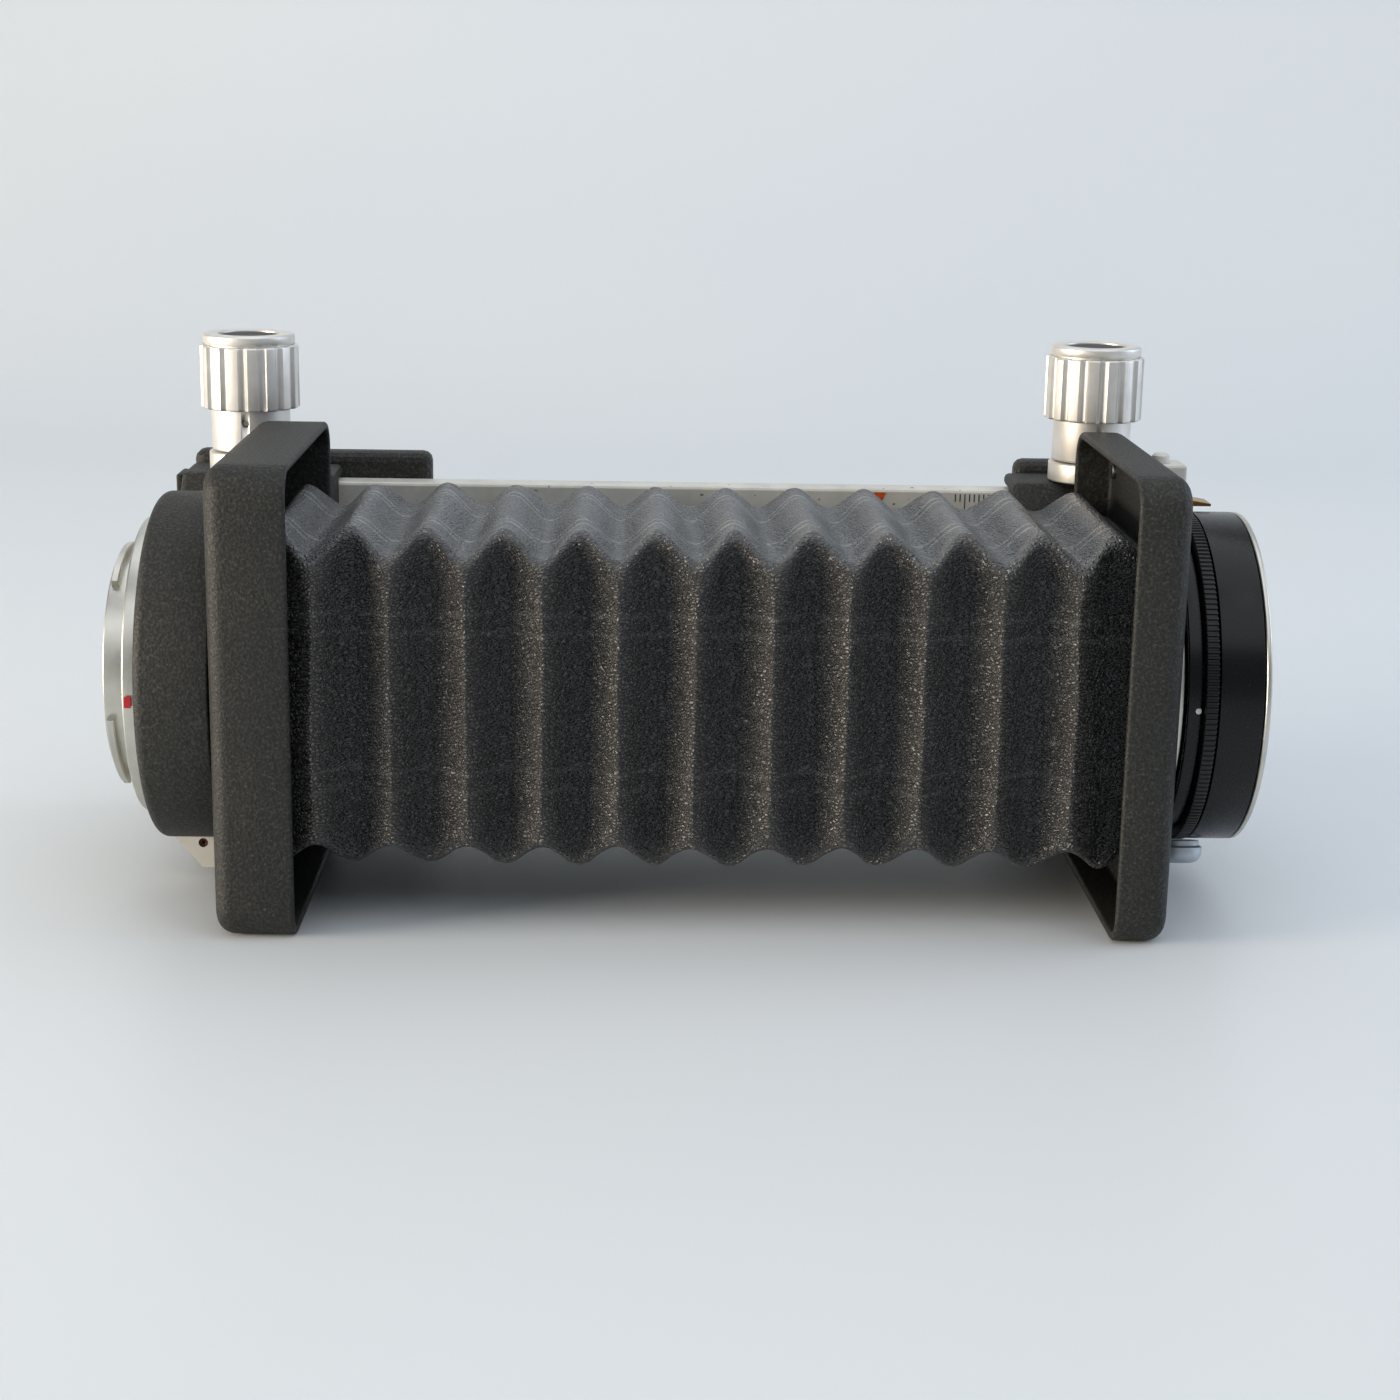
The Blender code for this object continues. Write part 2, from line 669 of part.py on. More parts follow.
def indexMarks(paint):
    # A painted spot on the flange's edge that lines up with the camera's own
    centre = (drumBack, axisY, axisZ)
    length, deep, tall = indexMark
    reach = flangeRadius + indexClearance
    y = axisY + reach * math.cos(indexAngle)
    z = axisZ + reach * math.sin(indexAngle)
    x = drumBack - gap - flangeThick / 2
    mark = block(x - length / 2, x + length / 2, y - deep, y, z - tall / 2, z + tall / 2)
    finish("camera_index_mark", mark, paint["red"], centre)


def lockLever(paint):
    # A toothed thumb lever beside the drum that holds it upright or on its side
    pivot = Vector((rearFace - leverSetback, axisY, axisZ - drumRadius - leverDrop))
    outline = [
        (leverFront - leverCorner, leverTop), (leverFront, leverTop - leverCorner),
        (leverFront, leverHeel[1]),
    ]
    run = (leverHeel[0] - leverTip[0]) / leverTeeth
    rise = (leverTip[1] - leverHeel[1]) / leverTeeth
    for i in range(leverTeeth):
        x = leverHeel[0] - run * i
        z = leverHeel[1] + rise * i
        outline += [(x, z), (x - run * toothLean, z + rise * (1 - toothLean))]
    outline += [leverTip, (leverTip[0], leverTop)]
    points = [(pivot.z + z, pivot.x + x) for x, z in outline]
    half = leverThick / 2
    lever = finish("format_lock_lever", prism(points, "Y", pivot.y - half, pivot.y + half),
                   paint["satin"], pivot)
    cut(lever, "lever_bore", rod("Y", pivot, -overshoot, overshoot, leverPinRadius + slack, 16))
    seat = -half + leverHeadHeight + 2 * gap
    sink = rod("Y", pivot, -overshoot, seat, leverHeadRadius + slack, 16)
    cut(lever, "lever_counterbore", sink)
    head = seat - gap
    tail = half + bracketDepth
    screw = [
        (head - leverHeadHeight, 0), (head - leverHeadHeight, leverHeadRadius),
        (head, leverHeadRadius), (head, leverPinRadius), (tail, leverPinRadius), (tail, 0),
    ]
    finish("lock_lever_pivot", turned(screw, "Y", pivot, 16), paint["steel"])
    bracket = finish(
        "lock_lever_bracket",
        block(
            pivot.x - bracketReach, rearFace - gap, pivot.y + half + gap,
            pivot.y + half + gap + bracketDepth, pivot.z - bracketHalfHeight, pivot.z + bracketHalfHeight
        ),
        paint["black"],
    )
    bevelled(bracket, bracketEdge)
    bore = rod("Y", pivot, 0, half + bracketDepth + overshoot, leverPinRadius + slack, 16)
    cut(bracket, "bracket_bore", bore)


def lensMount(paint):
    centre = (lensFlangeX, axisY, axisZ)
    flange = tube(
        "X", centre, 0, lensFlangeThick, lensThroatRadius, lensFlangeRadius, chamfer=0.3 * mm
    )
    finish("lens_flange", flange, paint["chrome"])
    throat = tube("X", centre, -plateThick, -gap, lensThroatRadius, drumNeckRadius)
    finish("lens_throat_ring", throat, paint["black"])


def extensionRing(paint):
    centre = Vector((ringStart, axisY, axisZ))
    gripStart = ringCollarLength
    barrelStart = gripStart + ringGripLength
    rimStart = barrelStart + ringBarrelLength
    rimEnd = rimStart + ringRimLength
    collar = tube(
        "X", centre, 0, gripStart - gap, ringSocketRadius + neckThick + gap, ringCollarRadius,
        chamfer=0.4 * mm
    )
    finish("ring_collar", collar, paint["black"], centre)
    outline = []
    for i in range(gripRibs):
        for share, dip in ((0.0, 1.0), (0.25, 0.0), (0.55, 0.0), (0.8, 1.0)):
            angle = math.tau * (i + share) / gripRibs
            radius = ringRadius + gripProud - dip * ribDepth
            outline.append((axisY + radius * math.cos(angle), axisZ + radius * math.sin(angle)))
    gripMesh = prism(outline, "X", ringStart + gripStart, ringStart + barrelStart - gap)
    grip = finish("ring_grip", gripMesh, paint["black"], centre)
    cut(grip, "grip_bore", rod("X", centre, 0, barrelStart + overshoot, ringBore, roundSteps))
    barrel = tube("X", centre, barrelStart, rimStart - gap, ringBore, ringRadius, chamfer=0.1 * mm)
    finish("ring_barrel", barrel, paint["black"], centre)
    mount = [
        (rimStart - socketDepth, ringSocketRadius), (rimStart - socketDepth, ringBore - gap),
        (rimStart, ringBore - gap), (rimStart, ringRadius), (rimEnd - 0.5 * mm, ringRadius),
        (rimEnd, ringRadius - 0.6 * mm), (rimEnd, ringSocketRadius),
    ]
    finish("ring_front_mount", turned(mount, "X", centre, closed=True), paint["chrome"], centre)
    neckInner = ringSocketRadius - 0.5 * mm
    neckStart = -lensFlangeThick - gap - neckReach
    neckEnd = gripStart - 1.0 * mm
    neck = tube("X", centre, neckStart, neckEnd, neckInner, neckInner + neckThick)
    finish("ring_rear_bayonet", neck, paint["chrome"], centre)


def releaseSocket(paint):
    # The cable release socket under the ring, turned a little toward the near side
    along = Vector((0, -math.sin(socketLean), -math.cos(socketLean)))
    side = Vector((1, 0, 0))
    basis = (side, along.cross(side), along)
    barrelStart = ringStart + ringCollarLength + ringGripLength
    centre = Vector((barrelStart - socketShift, axisY, axisZ))
    start = ringRadius + socketClearance
    end = start + socketLength
    capStart = start + socketNeckLength
    socket = [
        (start, plungerHole), (start, socketNeckRadius), (capStart, socketNeckRadius),
        (capStart, socketRadius),
    ]
    roundCount = 4
    for i in range(roundCount + 1):
        angle = math.pi / 2 * i / roundCount
        socket.append((end - socketRound + socketRound * math.sin(angle),
                       socketRadius - socketRound + socketRound * math.cos(angle)))
    socket.append((end, plungerHole))
    finish("release_socket", turned(socket, basis, centre, 32, closed=True), paint["satin"],
           Vector((ringStart, axisY, axisZ)))
    plunger = rod(
        basis, centre, start + plungerStart, end - gap, plungerHole - slack, 16, 0.2 * mm
    )
    finish("release_plunger", plunger, paint["brass"], centre)


def lensRelease(paint):
    # Housing on the lens standard's face, its push button and the tongue over the ring
    length, wide, tall = releaseHousing
    y = axisY + releaseShift
    clear = axisZ + max(ringRadius, lensFlangeRadius)
    base = clear + releaseRise
    housing = finish(
        "lens_release_housing",
        block(lensFlangeX, lensFlangeX + length, y - wide / 2, y + wide / 2, base, base + tall),
        paint["satin"],
    )
    bevelled(housing, 0.5 * mm)
    buttonAt = Vector((lensFlangeX + buttonSetback, y, base))
    hole = rod("Z", buttonAt, 2 * mm, tall + overshoot, buttonRadius + slack, smallSteps)
    cut(housing, "button_hole", hole)
    top = tall + buttonTravel
    button = [
        (3.6 * mm, 0), (3.6 * mm, buttonRadius), (top - 0.4 * mm, buttonRadius),
        (top, buttonRadius - 0.4 * mm), (top, 0),
    ]
    finish("lens_release_button", turned(button, "Z", buttonAt, smallSteps), paint["satin"], buttonAt)
    foot = block(
        lensFlangeX, lensFlangeX + tongueLength, y - tongueHalfWidth, y + tongueHalfWidth,
        clear + gap, base - gap
    )
    tongue = finish("lens_lock_tongue", foot, paint["brass"])
    far = lensFlangeX + 20 * mm
    slope = [(base, lensFlangeX + 4 * mm), (base, far), (clear - 0.5 * mm, far)]
    wedge = prism(slope, "Y", y - 2 * tongueHalfWidth, y + 2 * tongueHalfWidth)
    cut(tongue, "tongue_slope", wedge)


def foldLines():
    # (x, half width in Y, half width in Z) of every fold from the camera end to the lens end
    lines = [(bellowsStart, foldInner, foldInner), (firstRidge - endFold, foldInner, foldOuter)]
    for i in range(2 * ridgeCount):
        ridge = i % 2 == 0
        near, high = (foldOuter, foldInner) if ridge else (foldInner, foldOuter)
        lines.append((firstRidge + foldPitch / 2 * i, near, high))
    lines.append((bellowsEnd, foldInner, foldInner))
    return lines


def bellowsHalf(name, lines, paint):
    # One half of the pleated leather, as an outer skin and an inner one
    rings = []
    for skin, order in ((0.0, lines), (bellowsWall, lines[::-1])):
        for x, near, high in order:
            rings.append([
                Vector((x, axisY + y * (near - skin), axisZ + z * (high - skin)))
                for y, z in ((-1, -1), (0, -1), (1, -1), (1, 0), (1, 1), (0, 1), (-1, 1), (-1, 0))
            ])
    mesh = bmesh.new()
    addRings(mesh, rings, closed=True)
    finish(name, mesh, paint["leather"])


def bellows(paint):
    lines = foldLines()
    middle = [i for i, line in enumerate(lines) if abs(line[0] - bellowsMiddle) < 1e-6][0]
    _, near, high = lines[middle]
    rearLines = lines[:middle] + [(bellowsMiddle - gap / 2, near, high)]
    frontLines = [(bellowsMiddle + gap / 2, near, high)] + lines[middle + 1:]
    bellowsHalf("bellows_rear_half", rearLines, paint)
    bellowsHalf("bellows_front_half", frontLines, paint)


def main():
    for thing in list(bpy.data.objects):
        bpy.data.objects.remove(thing)
    paint = makeMaterials()
    rail(paint)
    rack(paint)
    tripodFoot(paint)
    standardShell("rear_standard", rearFace, rearRim, paint)
    standardShell("front_standard", frontFace, frontRim, paint)
    mountPlate("bellows_rear_plate", rearMountX, paint)
    mountPlate("bellows_front_plate", frontMountX, paint)
    carriage("rear", (rearEnd, rearRim), (rearEnd, rearRim + rearPlateReach),
             (rearFace, rearRim - seatInset), rearKnobX, paint)
    carriage("front", (frontRim - frontBlockReach, frontEnd), (frontRim - frontPlateReach, frontEnd),
             (frontRim + seatInset, frontFace), frontKnobX, paint)
    for side, knobX in (("rear", rearKnobX), ("front", frontKnobX)):
        knobBearing(side, knobX, paint)
        focusKnob(side, knobX, paint)
        pinionShaft(side, knobX, paint)
        clampKnob(side, knobX, paint)
    cameraMount(paint)
    lockLever(paint)
    lensMount(paint)
    extensionRing(paint)
    releaseSocket(paint)
    lensRelease(paint)
    bellows(paint)
    indexMarks(paint)


main()
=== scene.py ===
import json
import math

import bmesh
import bpy
import numpy as np
from mathutils import Matrix, Vector, noise


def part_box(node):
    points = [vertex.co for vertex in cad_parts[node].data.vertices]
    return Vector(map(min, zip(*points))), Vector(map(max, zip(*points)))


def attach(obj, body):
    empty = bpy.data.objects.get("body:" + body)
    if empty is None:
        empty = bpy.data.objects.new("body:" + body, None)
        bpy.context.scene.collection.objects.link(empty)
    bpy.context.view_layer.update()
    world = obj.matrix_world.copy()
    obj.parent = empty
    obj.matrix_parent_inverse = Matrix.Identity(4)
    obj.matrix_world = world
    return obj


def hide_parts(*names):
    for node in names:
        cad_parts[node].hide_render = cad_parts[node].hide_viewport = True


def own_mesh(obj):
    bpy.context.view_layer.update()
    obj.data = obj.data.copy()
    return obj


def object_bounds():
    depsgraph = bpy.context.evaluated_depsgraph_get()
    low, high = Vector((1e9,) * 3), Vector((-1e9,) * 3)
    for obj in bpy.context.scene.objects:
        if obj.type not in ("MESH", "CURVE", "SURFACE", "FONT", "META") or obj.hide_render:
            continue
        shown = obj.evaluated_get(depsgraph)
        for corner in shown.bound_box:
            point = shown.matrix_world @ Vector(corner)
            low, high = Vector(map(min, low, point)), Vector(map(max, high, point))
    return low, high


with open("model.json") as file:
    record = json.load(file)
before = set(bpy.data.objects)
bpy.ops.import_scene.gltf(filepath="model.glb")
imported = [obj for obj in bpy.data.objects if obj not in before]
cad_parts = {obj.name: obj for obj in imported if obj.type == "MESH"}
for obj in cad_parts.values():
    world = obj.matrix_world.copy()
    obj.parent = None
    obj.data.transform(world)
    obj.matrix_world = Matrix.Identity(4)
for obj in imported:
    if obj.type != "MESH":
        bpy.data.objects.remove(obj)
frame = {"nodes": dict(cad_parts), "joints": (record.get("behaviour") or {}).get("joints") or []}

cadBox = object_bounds()
mm = 0.001
joints = {joint["name"]: joint for joint in frame["joints"]}
print("frame loaded:", len(frame["nodes"]), "nodes")


def low(node):
    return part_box(node)[0]


def high(node):
    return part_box(node)[1]


def middle(node):
    return (low(node) + high(node)) / 2


drumCentre = middle("camera_mount_drum")
axisY = drumCentre.y
axisZ = drumCentre.z
objectX = (cadBox[0].x + cadBox[1].x) / 2


cameraSet = {
    "lensMm": 63.363,
    "sensorMm": 36.0,
    "besideMm": -9.758,  # from the middle of the object
    "backMm": 468.131,  # from the optical axis
    "aboveMm": 110.855,
    "downDeg": 14.0294,
    "swingDeg": 1.6339,
    "tiltDeg": -1.0066,
}


def placeCamera():
    data = bpy.data.cameras.new("studioCamera")
    data.lens = cameraSet["lensMm"]
    data.sensor_width = cameraSet["sensorMm"]
    data.clip_start = 0.02
    data.clip_end = 20
    down = math.radians(cameraSet["downDeg"])
    swing = math.radians(cameraSet["swingDeg"])
    tilt = math.radians(cameraSet["tiltDeg"])
    ahead = Vector((math.sin(swing) * math.cos(down), math.cos(swing) * math.cos(down), -math.sin(down)))
    side = Vector((math.cos(swing), -math.sin(swing), 0))
    under = ahead.cross(side)
    right = side * math.cos(tilt) + under * math.sin(tilt)
    below = under * math.cos(tilt) - side * math.sin(tilt)
    turn = Matrix((right, -below, -ahead)).transposed()
    camera = bpy.data.objects.new("studioCamera", data)
    place = Vector((
        objectX + cameraSet["besideMm"] * mm,
        axisY - cameraSet["backMm"] * mm,
        axisZ + cameraSet["aboveMm"] * mm,
    ))
    camera.matrix_world = Matrix.Translation(place) @ turn.to_4x4()
    bpy.context.scene.collection.objects.link(camera)
    bpy.context.scene.camera = camera


placeCamera()
print("camera placed")


def toLinear(hexColour):
    channels = [int(hexColour[i:i + 2], 16) / 255 for i in (1, 3, 5)]
    linear = [c / 12.92 if c <= 0.04045 else ((c + 0.055) / 1.055) ** 2.4 for c in channels]
    return (*linear, 1.0)


def addNode(tree, kind, settings=None, links=None):
    # A setting named like a socket, or numbered, goes to that socket; any other is the node's own
    node = tree.nodes.new(kind)
    for name, value in (settings or {}).items():
        if name == "stops":
            elements = node.color_ramp.elements
            while len(elements) < len(value):
                elements.new(0.5)
            for element, (place, colour) in zip(elements, value):
                element.position = place
                element.color = toLinear(colour)
        elif isinstance(name, int) or name in node.inputs:
            node.inputs[name].default_value = value
        else:
            setattr(node, name, value)
    for name, socket in (links or {}).items():
        tree.links.new(socket, node.inputs[name])
    return node


def startMaterial(name, settings):
    material = bpy.data.materials.new(name)
    material.use_nodes = True
    tree = material.node_tree
    shader = tree.nodes["Principled BSDF"]
    for socket, value in settings.items():
        shader.inputs[socket].default_value = value
    coordinates = addNode(tree, "ShaderNodeTexCoord").outputs["Object"]
    return material, tree, shader, coordinates


def perMm(size):
    # Texture scale for a pattern whose features are this many millimetres apart
    return 1 / (size * mm)


def wrinkleEnamel(name="wrinkleEnamelOnAluminium"):
    # Baked wrinkle enamel over cast aluminium: charcoal, with a grainy skin; the colour follows the grain's
    # height, so the tops carry a painted olive highlight and the troughs painted shade
    grainMm = 0.55
    material, tree, shader, coordinates = startMaterial(name, {"Specular IOR Level": 0.45})
    grain = addNode(tree, "ShaderNodeTexNoise", {
        "Scale": perMm(grainMm), "Detail": 3.0, "Roughness": 0.6}, {"Vector": coordinates})
    patches = addNode(tree, "ShaderNodeTexNoise", {
        "Scale": perMm(14), "Detail": 2.0}, {"Vector": coordinates})
    # Colour follows the grain's height: painted highlight on the wrinkle tops, painted shade in the troughs
    colour = addNode(tree, "ShaderNodeValToRGB", {"stops": [
        (0.36, "#121211"), (0.52, "#22221f"), (0.66, "#3a3a32"), (0.8, "#5e5d52")]},
        {"Fac": grain.outputs["Fac"]})
    tint = addNode(tree, "ShaderNodeValToRGB", {"stops": [(0.3, "#d8dadc"), (0.7, "#fffdf4")]},
                   {"Fac": patches.outputs["Fac"]})
    mixed = addNode(tree, "ShaderNodeMix", {"data_type": "RGBA", "blend_type": "MULTIPLY", 0: 1.0},
                    {6: colour.outputs["Color"], 7: tint.outputs["Color"]})
    tree.links.new(mixed.outputs[2], shader.inputs["Base Color"])
    rough = addNode(tree, "ShaderNodeMapRange", {3: 0.72, 4: 0.46}, {0: grain.outputs["Fac"]})
    tree.links.new(rough.outputs[0], shader.inputs["Roughness"])
    bump = addNode(tree, "ShaderNodeBump", {"Strength": 1.0, "Distance": 0.2 * mm},
                   {"Height": grain.outputs["Fac"]})
    tree.links.new(bump.outputs["Normal"], shader.inputs["Normal"])
    return material


def pleatedLeather(name="pebbledBellowsLeather"):
    # Thin black calf, pebble embossed; the fold crests are lightened warm, partly rubbed and polished wear
    # and partly painted highlight, the valleys stay dark, and whatever faces up is painted grey as a painted
    # reflection of the bright backdrop
    pebbleMm = 1.05
    material, tree, shader, coordinates = startMaterial(name, {
        "Specular IOR Level": 0.8, "Sheen Weight": 0.08, "Sheen Roughness": 0.35})
    stretch = addNode(tree, "ShaderNodeMapping", {"Scale": (1.0, 1.0, 1.7)}, {"Vector": coordinates})
    warp = addNode(tree, "ShaderNodeTexNoise", {"Scale": perMm(1.6), "Detail": 2.0},
                   {"Vector": coordinates})
    push = addNode(tree, "ShaderNodeVectorMath", {"operation": "SCALE", "Scale": 1.3 * mm},
                   {0: warp.outputs["Color"]})
    bent = addNode(tree, "ShaderNodeVectorMath", {"operation": "ADD"},
                   {0: stretch.outputs[0], 1: push.outputs["Vector"]})
    pebbles = addNode(tree, "ShaderNodeTexVoronoi", {
        "feature": "DISTANCE_TO_EDGE", "Scale": perMm(pebbleMm)}, {"Vector": bent.outputs["Vector"]})
    raised = addNode(tree, "ShaderNodeMapRange", {
        "interpolation_type": "SMOOTHSTEP", 1: 0.0, 2: 0.34}, {0: pebbles.outputs["Distance"]})
    fine = addNode(tree, "ShaderNodeTexNoise", {"Scale": perMm(0.4), "Detail": 2.0}, {"Vector": coordinates})
    stain = addNode(tree, "ShaderNodeTexNoise", {"Scale": perMm(9), "Detail": 3.0}, {"Vector": coordinates})
    crest = addNode(tree, "ShaderNodeAttribute", {"attribute_name": "crest"}).outputs["Fac"]
    seam = addNode(tree, "ShaderNodeAttribute", {"attribute_name": "seam"}).outputs["Fac"]
    base = addNode(tree, "ShaderNodeValToRGB", {"stops": [
        (0.3, "#0e0d0d"), (0.55, "#141313"), (0.75, "#1c1b1a")]}, {"Fac": stain.outputs["Fac"]})
    # Crests are lightened warm: partly rubbed wear, partly a painted highlight
    wornAndLitCrests = addNode(tree, "ShaderNodeMix", {"data_type": "RGBA", 7: toLinear("#69635a")},
                   {0: crest, 6: base.outputs["Color"]})
    # The pebbles' grooves are painted near-black: painted shade in the grain's grooves
    shadedGrooves = addNode(tree, "ShaderNodeMix", {"data_type": "RGBA", 6: toLinear("#060606")},
                      {0: raised.outputs[0], 7: wornAndLitCrests.outputs[2]})
    facing = addNode(tree, "ShaderNodeNewGeometry").outputs["Normal"]
    upward = addNode(tree, "ShaderNodeSeparateXYZ", {}, {0: facing}).outputs["Z"]
    # Upward faces are painted grey: a painted reflection of the bright backdrop
    topFacingShare = addNode(tree, "ShaderNodeMapRange", {1: 0.25, 2: 0.95, 4: 0.55}, {0: upward})
    paintedTopSheen = addNode(tree, "ShaderNodeMix", {"data_type": "RGBA", 7: toLinear("#66686b")},
                    {0: topFacingShare.outputs[0], 6: shadedGrooves.outputs[2]})
    # The stiffener lines are painted near-white: a painted highlight, strong on top faces, faint on the sides
    glintedSeams = addNode(tree, "ShaderNodeMix", {"data_type": "RGBA", 7: toLinear("#c4c4c0")},
                    {0: seam, 6: paintedTopSheen.outputs[2]})
    tree.links.new(glintedSeams.outputs[2], shader.inputs["Base Color"])
    rough = addNode(tree, "ShaderNodeMapRange", {3: 0.3, 4: 0.44}, {0: stain.outputs["Fac"]})
    tree.links.new(rough.outputs[0], shader.inputs["Roughness"])
    height = addNode(tree, "ShaderNodeMath", {"operation": "MULTIPLY_ADD", 1: 0.4},
                     {0: fine.outputs["Fac"], 2: raised.outputs[0]})
    bump = addNode(tree, "ShaderNodeBump", {"Strength": 1.0, "Distance": 0.4 * mm},
                   {"Height": height.outputs[0]})
    tree.links.new(bump.outputs["Normal"], shader.inputs["Normal"])
    return material


def brushedPlate(name, hexLight, hexDark, roughness, strokeMm, stretch, rust=0.0, metallic=1.0):
    # Metal plate drawn along its length: fine straight strokes that smear the highlights one way
    material, tree, shader, coordinates = startMaterial(name, {"Metallic": metallic})
    stroke = addNode(tree, "ShaderNodeMapping", {
        "Scale": (perMm(strokeMm * stretch), perMm(strokeMm), perMm(strokeMm))}, {"Vector": coordinates})
    lines = addNode(tree, "ShaderNodeTexNoise", {"Scale": 1.0, "Detail": 2.0}, {"Vector": stroke.outputs[0]})
    patches = addNode(tree, "ShaderNodeTexNoise", {"Scale": perMm(7), "Detail": 3.0}, {"Vector": coordinates})
    base = addNode(tree, "ShaderNodeValToRGB", {"stops": [(0.35, hexDark), (0.65, hexLight)]},
                   {"Fac": patches.outputs["Fac"]})
    colour = base.outputs["Color"]
    rough = addNode(tree, "ShaderNodeMapRange", {3: roughness - 0.06, 4: roughness + 0.1},
                    {0: lines.outputs["Fac"]})
    if rust:
        spots = addNode(tree, "ShaderNodeTexNoise", {"Scale": perMm(1.6), "Detail": 4.0},
                        {"Vector": coordinates})
        where = addNode(tree, "ShaderNodeMapRange", {1: 0.70 - rust, 2: 0.76 - rust},
                        {0: spots.outputs["Fac"]})
        spoiled = addNode(tree, "ShaderNodeMix", {"data_type": "RGBA", 7: toLinear("#6b5442")},
                          {0: where.outputs[0], 6: colour})
        colour = spoiled.outputs[2]
    tree.links.new(colour, shader.inputs["Base Color"])
    tree.links.new(rough.outputs[0], shader.inputs["Roughness"])
    bump = addNode(tree, "ShaderNodeBump", {"Strength": 0.25, "Distance": 0.02 * mm},
                   {"Height": lines.outputs["Fac"]})
    tree.links.new(bump.outputs["Normal"], shader.inputs["Normal"])
    return material


def turnedMetal(name, axis, centre, settings):
    # Metal finished on a lathe: the tool's rings run round the piece and pull reflections into fans
    material, tree, shader, coordinates = startMaterial(name, {"Metallic": settings["metallic"]})
    if "specular" in settings:
        shader.inputs["Specular IOR Level"].default_value = settings["specular"]
    fromAxis = addNode(tree, "ShaderNodeVectorMath", {"operation": "SUBTRACT", 1: tuple(centre)},
                       {0: coordinates})
    across = (0.0, 1.0, 1.0) if axis == "X" else (1.0, 1.0, 0.0)
    flat = addNode(tree, "ShaderNodeVectorMath", {"operation": "MULTIPLY", 1: across},
                   {0: fromAxis.outputs[0]})
    radius = addNode(tree, "ShaderNodeVectorMath", {"operation": "LENGTH"}, {0: flat.outputs[0]})
    parts = addNode(tree, "ShaderNodeSeparateXYZ", {}, {0: fromAxis.outputs[0]})
    along = addNode(tree, "ShaderNodeMath", {"operation": "ADD"},
                    {0: parts.outputs[axis], 1: radius.outputs["Value"]})
    pitch = addNode(tree, "ShaderNodeMath", {"operation": "MULTIPLY", 1: perMm(settings["ringMm"])},
                    {0: along.outputs[0]})
    rings = addNode(tree, "ShaderNodeTexNoise", {"noise_dimensions": "1D", "Scale": 1.0, "Detail": 2.0},
                    {"W": pitch.outputs[0]})
    grit = addNode(tree, "ShaderNodeTexNoise", {"Scale": perMm(settings["gritMm"]), "Detail": 2.0},
                   {"Vector": coordinates})
    patches = addNode(tree, "ShaderNodeTexNoise", {"Scale": perMm(5), "Detail": 3.0}, {"Vector": coordinates})
    base = addNode(tree, "ShaderNodeValToRGB", {"stops": [
        (0.35, settings["dark"]), (0.65, settings["light"])]}, {"Fac": patches.outputs["Fac"]})
    tree.links.new(base.outputs["Color"], shader.inputs["Base Color"])
    rough = addNode(tree, "ShaderNodeMapRange", {
        3: settings["roughness"] - 0.05, 4: settings["roughness"] + 0.1}, {0: grit.outputs["Fac"]})
    tree.links.new(rough.outputs[0], shader.inputs["Roughness"])
    height = addNode(tree, "ShaderNodeMix", {0: settings["gritShare"]},
                     {2: rings.outputs["Fac"], 3: grit.outputs["Fac"]})
    bump = addNode(tree, "ShaderNodeBump", {
        "Strength": settings["bump"], "Distance": 0.03 * mm}, {"Height": height.outputs[0]})
    tree.links.new(bump.outputs["Normal"], shader.inputs["Normal"])
    return material


def paintFill(name, hexLight, hexDark, roughness):
    # Enamel filled into a cut mark and wiped: a little uneven, with a soft gloss
    material, tree, shader, coordinates = startMaterial(name, {"Roughness": roughness})
    patches = addNode(tree, "ShaderNodeTexNoise", {"Scale": perMm(0.5), "Detail": 3.0},
                      {"Vector": coordinates})
    base = addNode(tree, "ShaderNodeValToRGB", {"stops": [(0.35, hexDark), (0.6, hexLight)]},
                   {"Fac": patches.outputs["Fac"]})
    tree.links.new(base.outputs["Color"], shader.inputs["Base Color"])
    bump = addNode(tree, "ShaderNodeBump", {"Strength": 0.3, "Distance": 0.03 * mm},
                   {"Height": patches.outputs["Fac"]})
    tree.links.new(bump.outputs["Normal"], shader.inputs["Normal"])
    return material


def studioPaper(name="seamlessPaper"):
    # Matt seamless paper with a slight satin calendered skin, so that the object has a soft reflection
    material, tree, shader, coordinates = startMaterial(name, {
        "Roughness": 0.42, "Specular IOR Level": 0.35})
    patches = addNode(tree, "ShaderNodeTexNoise", {"Scale": perMm(400), "Detail": 1.0},
                      {"Vector": coordinates})
    base = addNode(tree, "ShaderNodeValToRGB", {"stops": [(0.3, "#dadfe2"), (0.7, "#dee2e3")]},
                   {"Fac": patches.outputs["Fac"]})
    tree.links.new(base.outputs["Color"], shader.inputs["Base Color"])
    return material


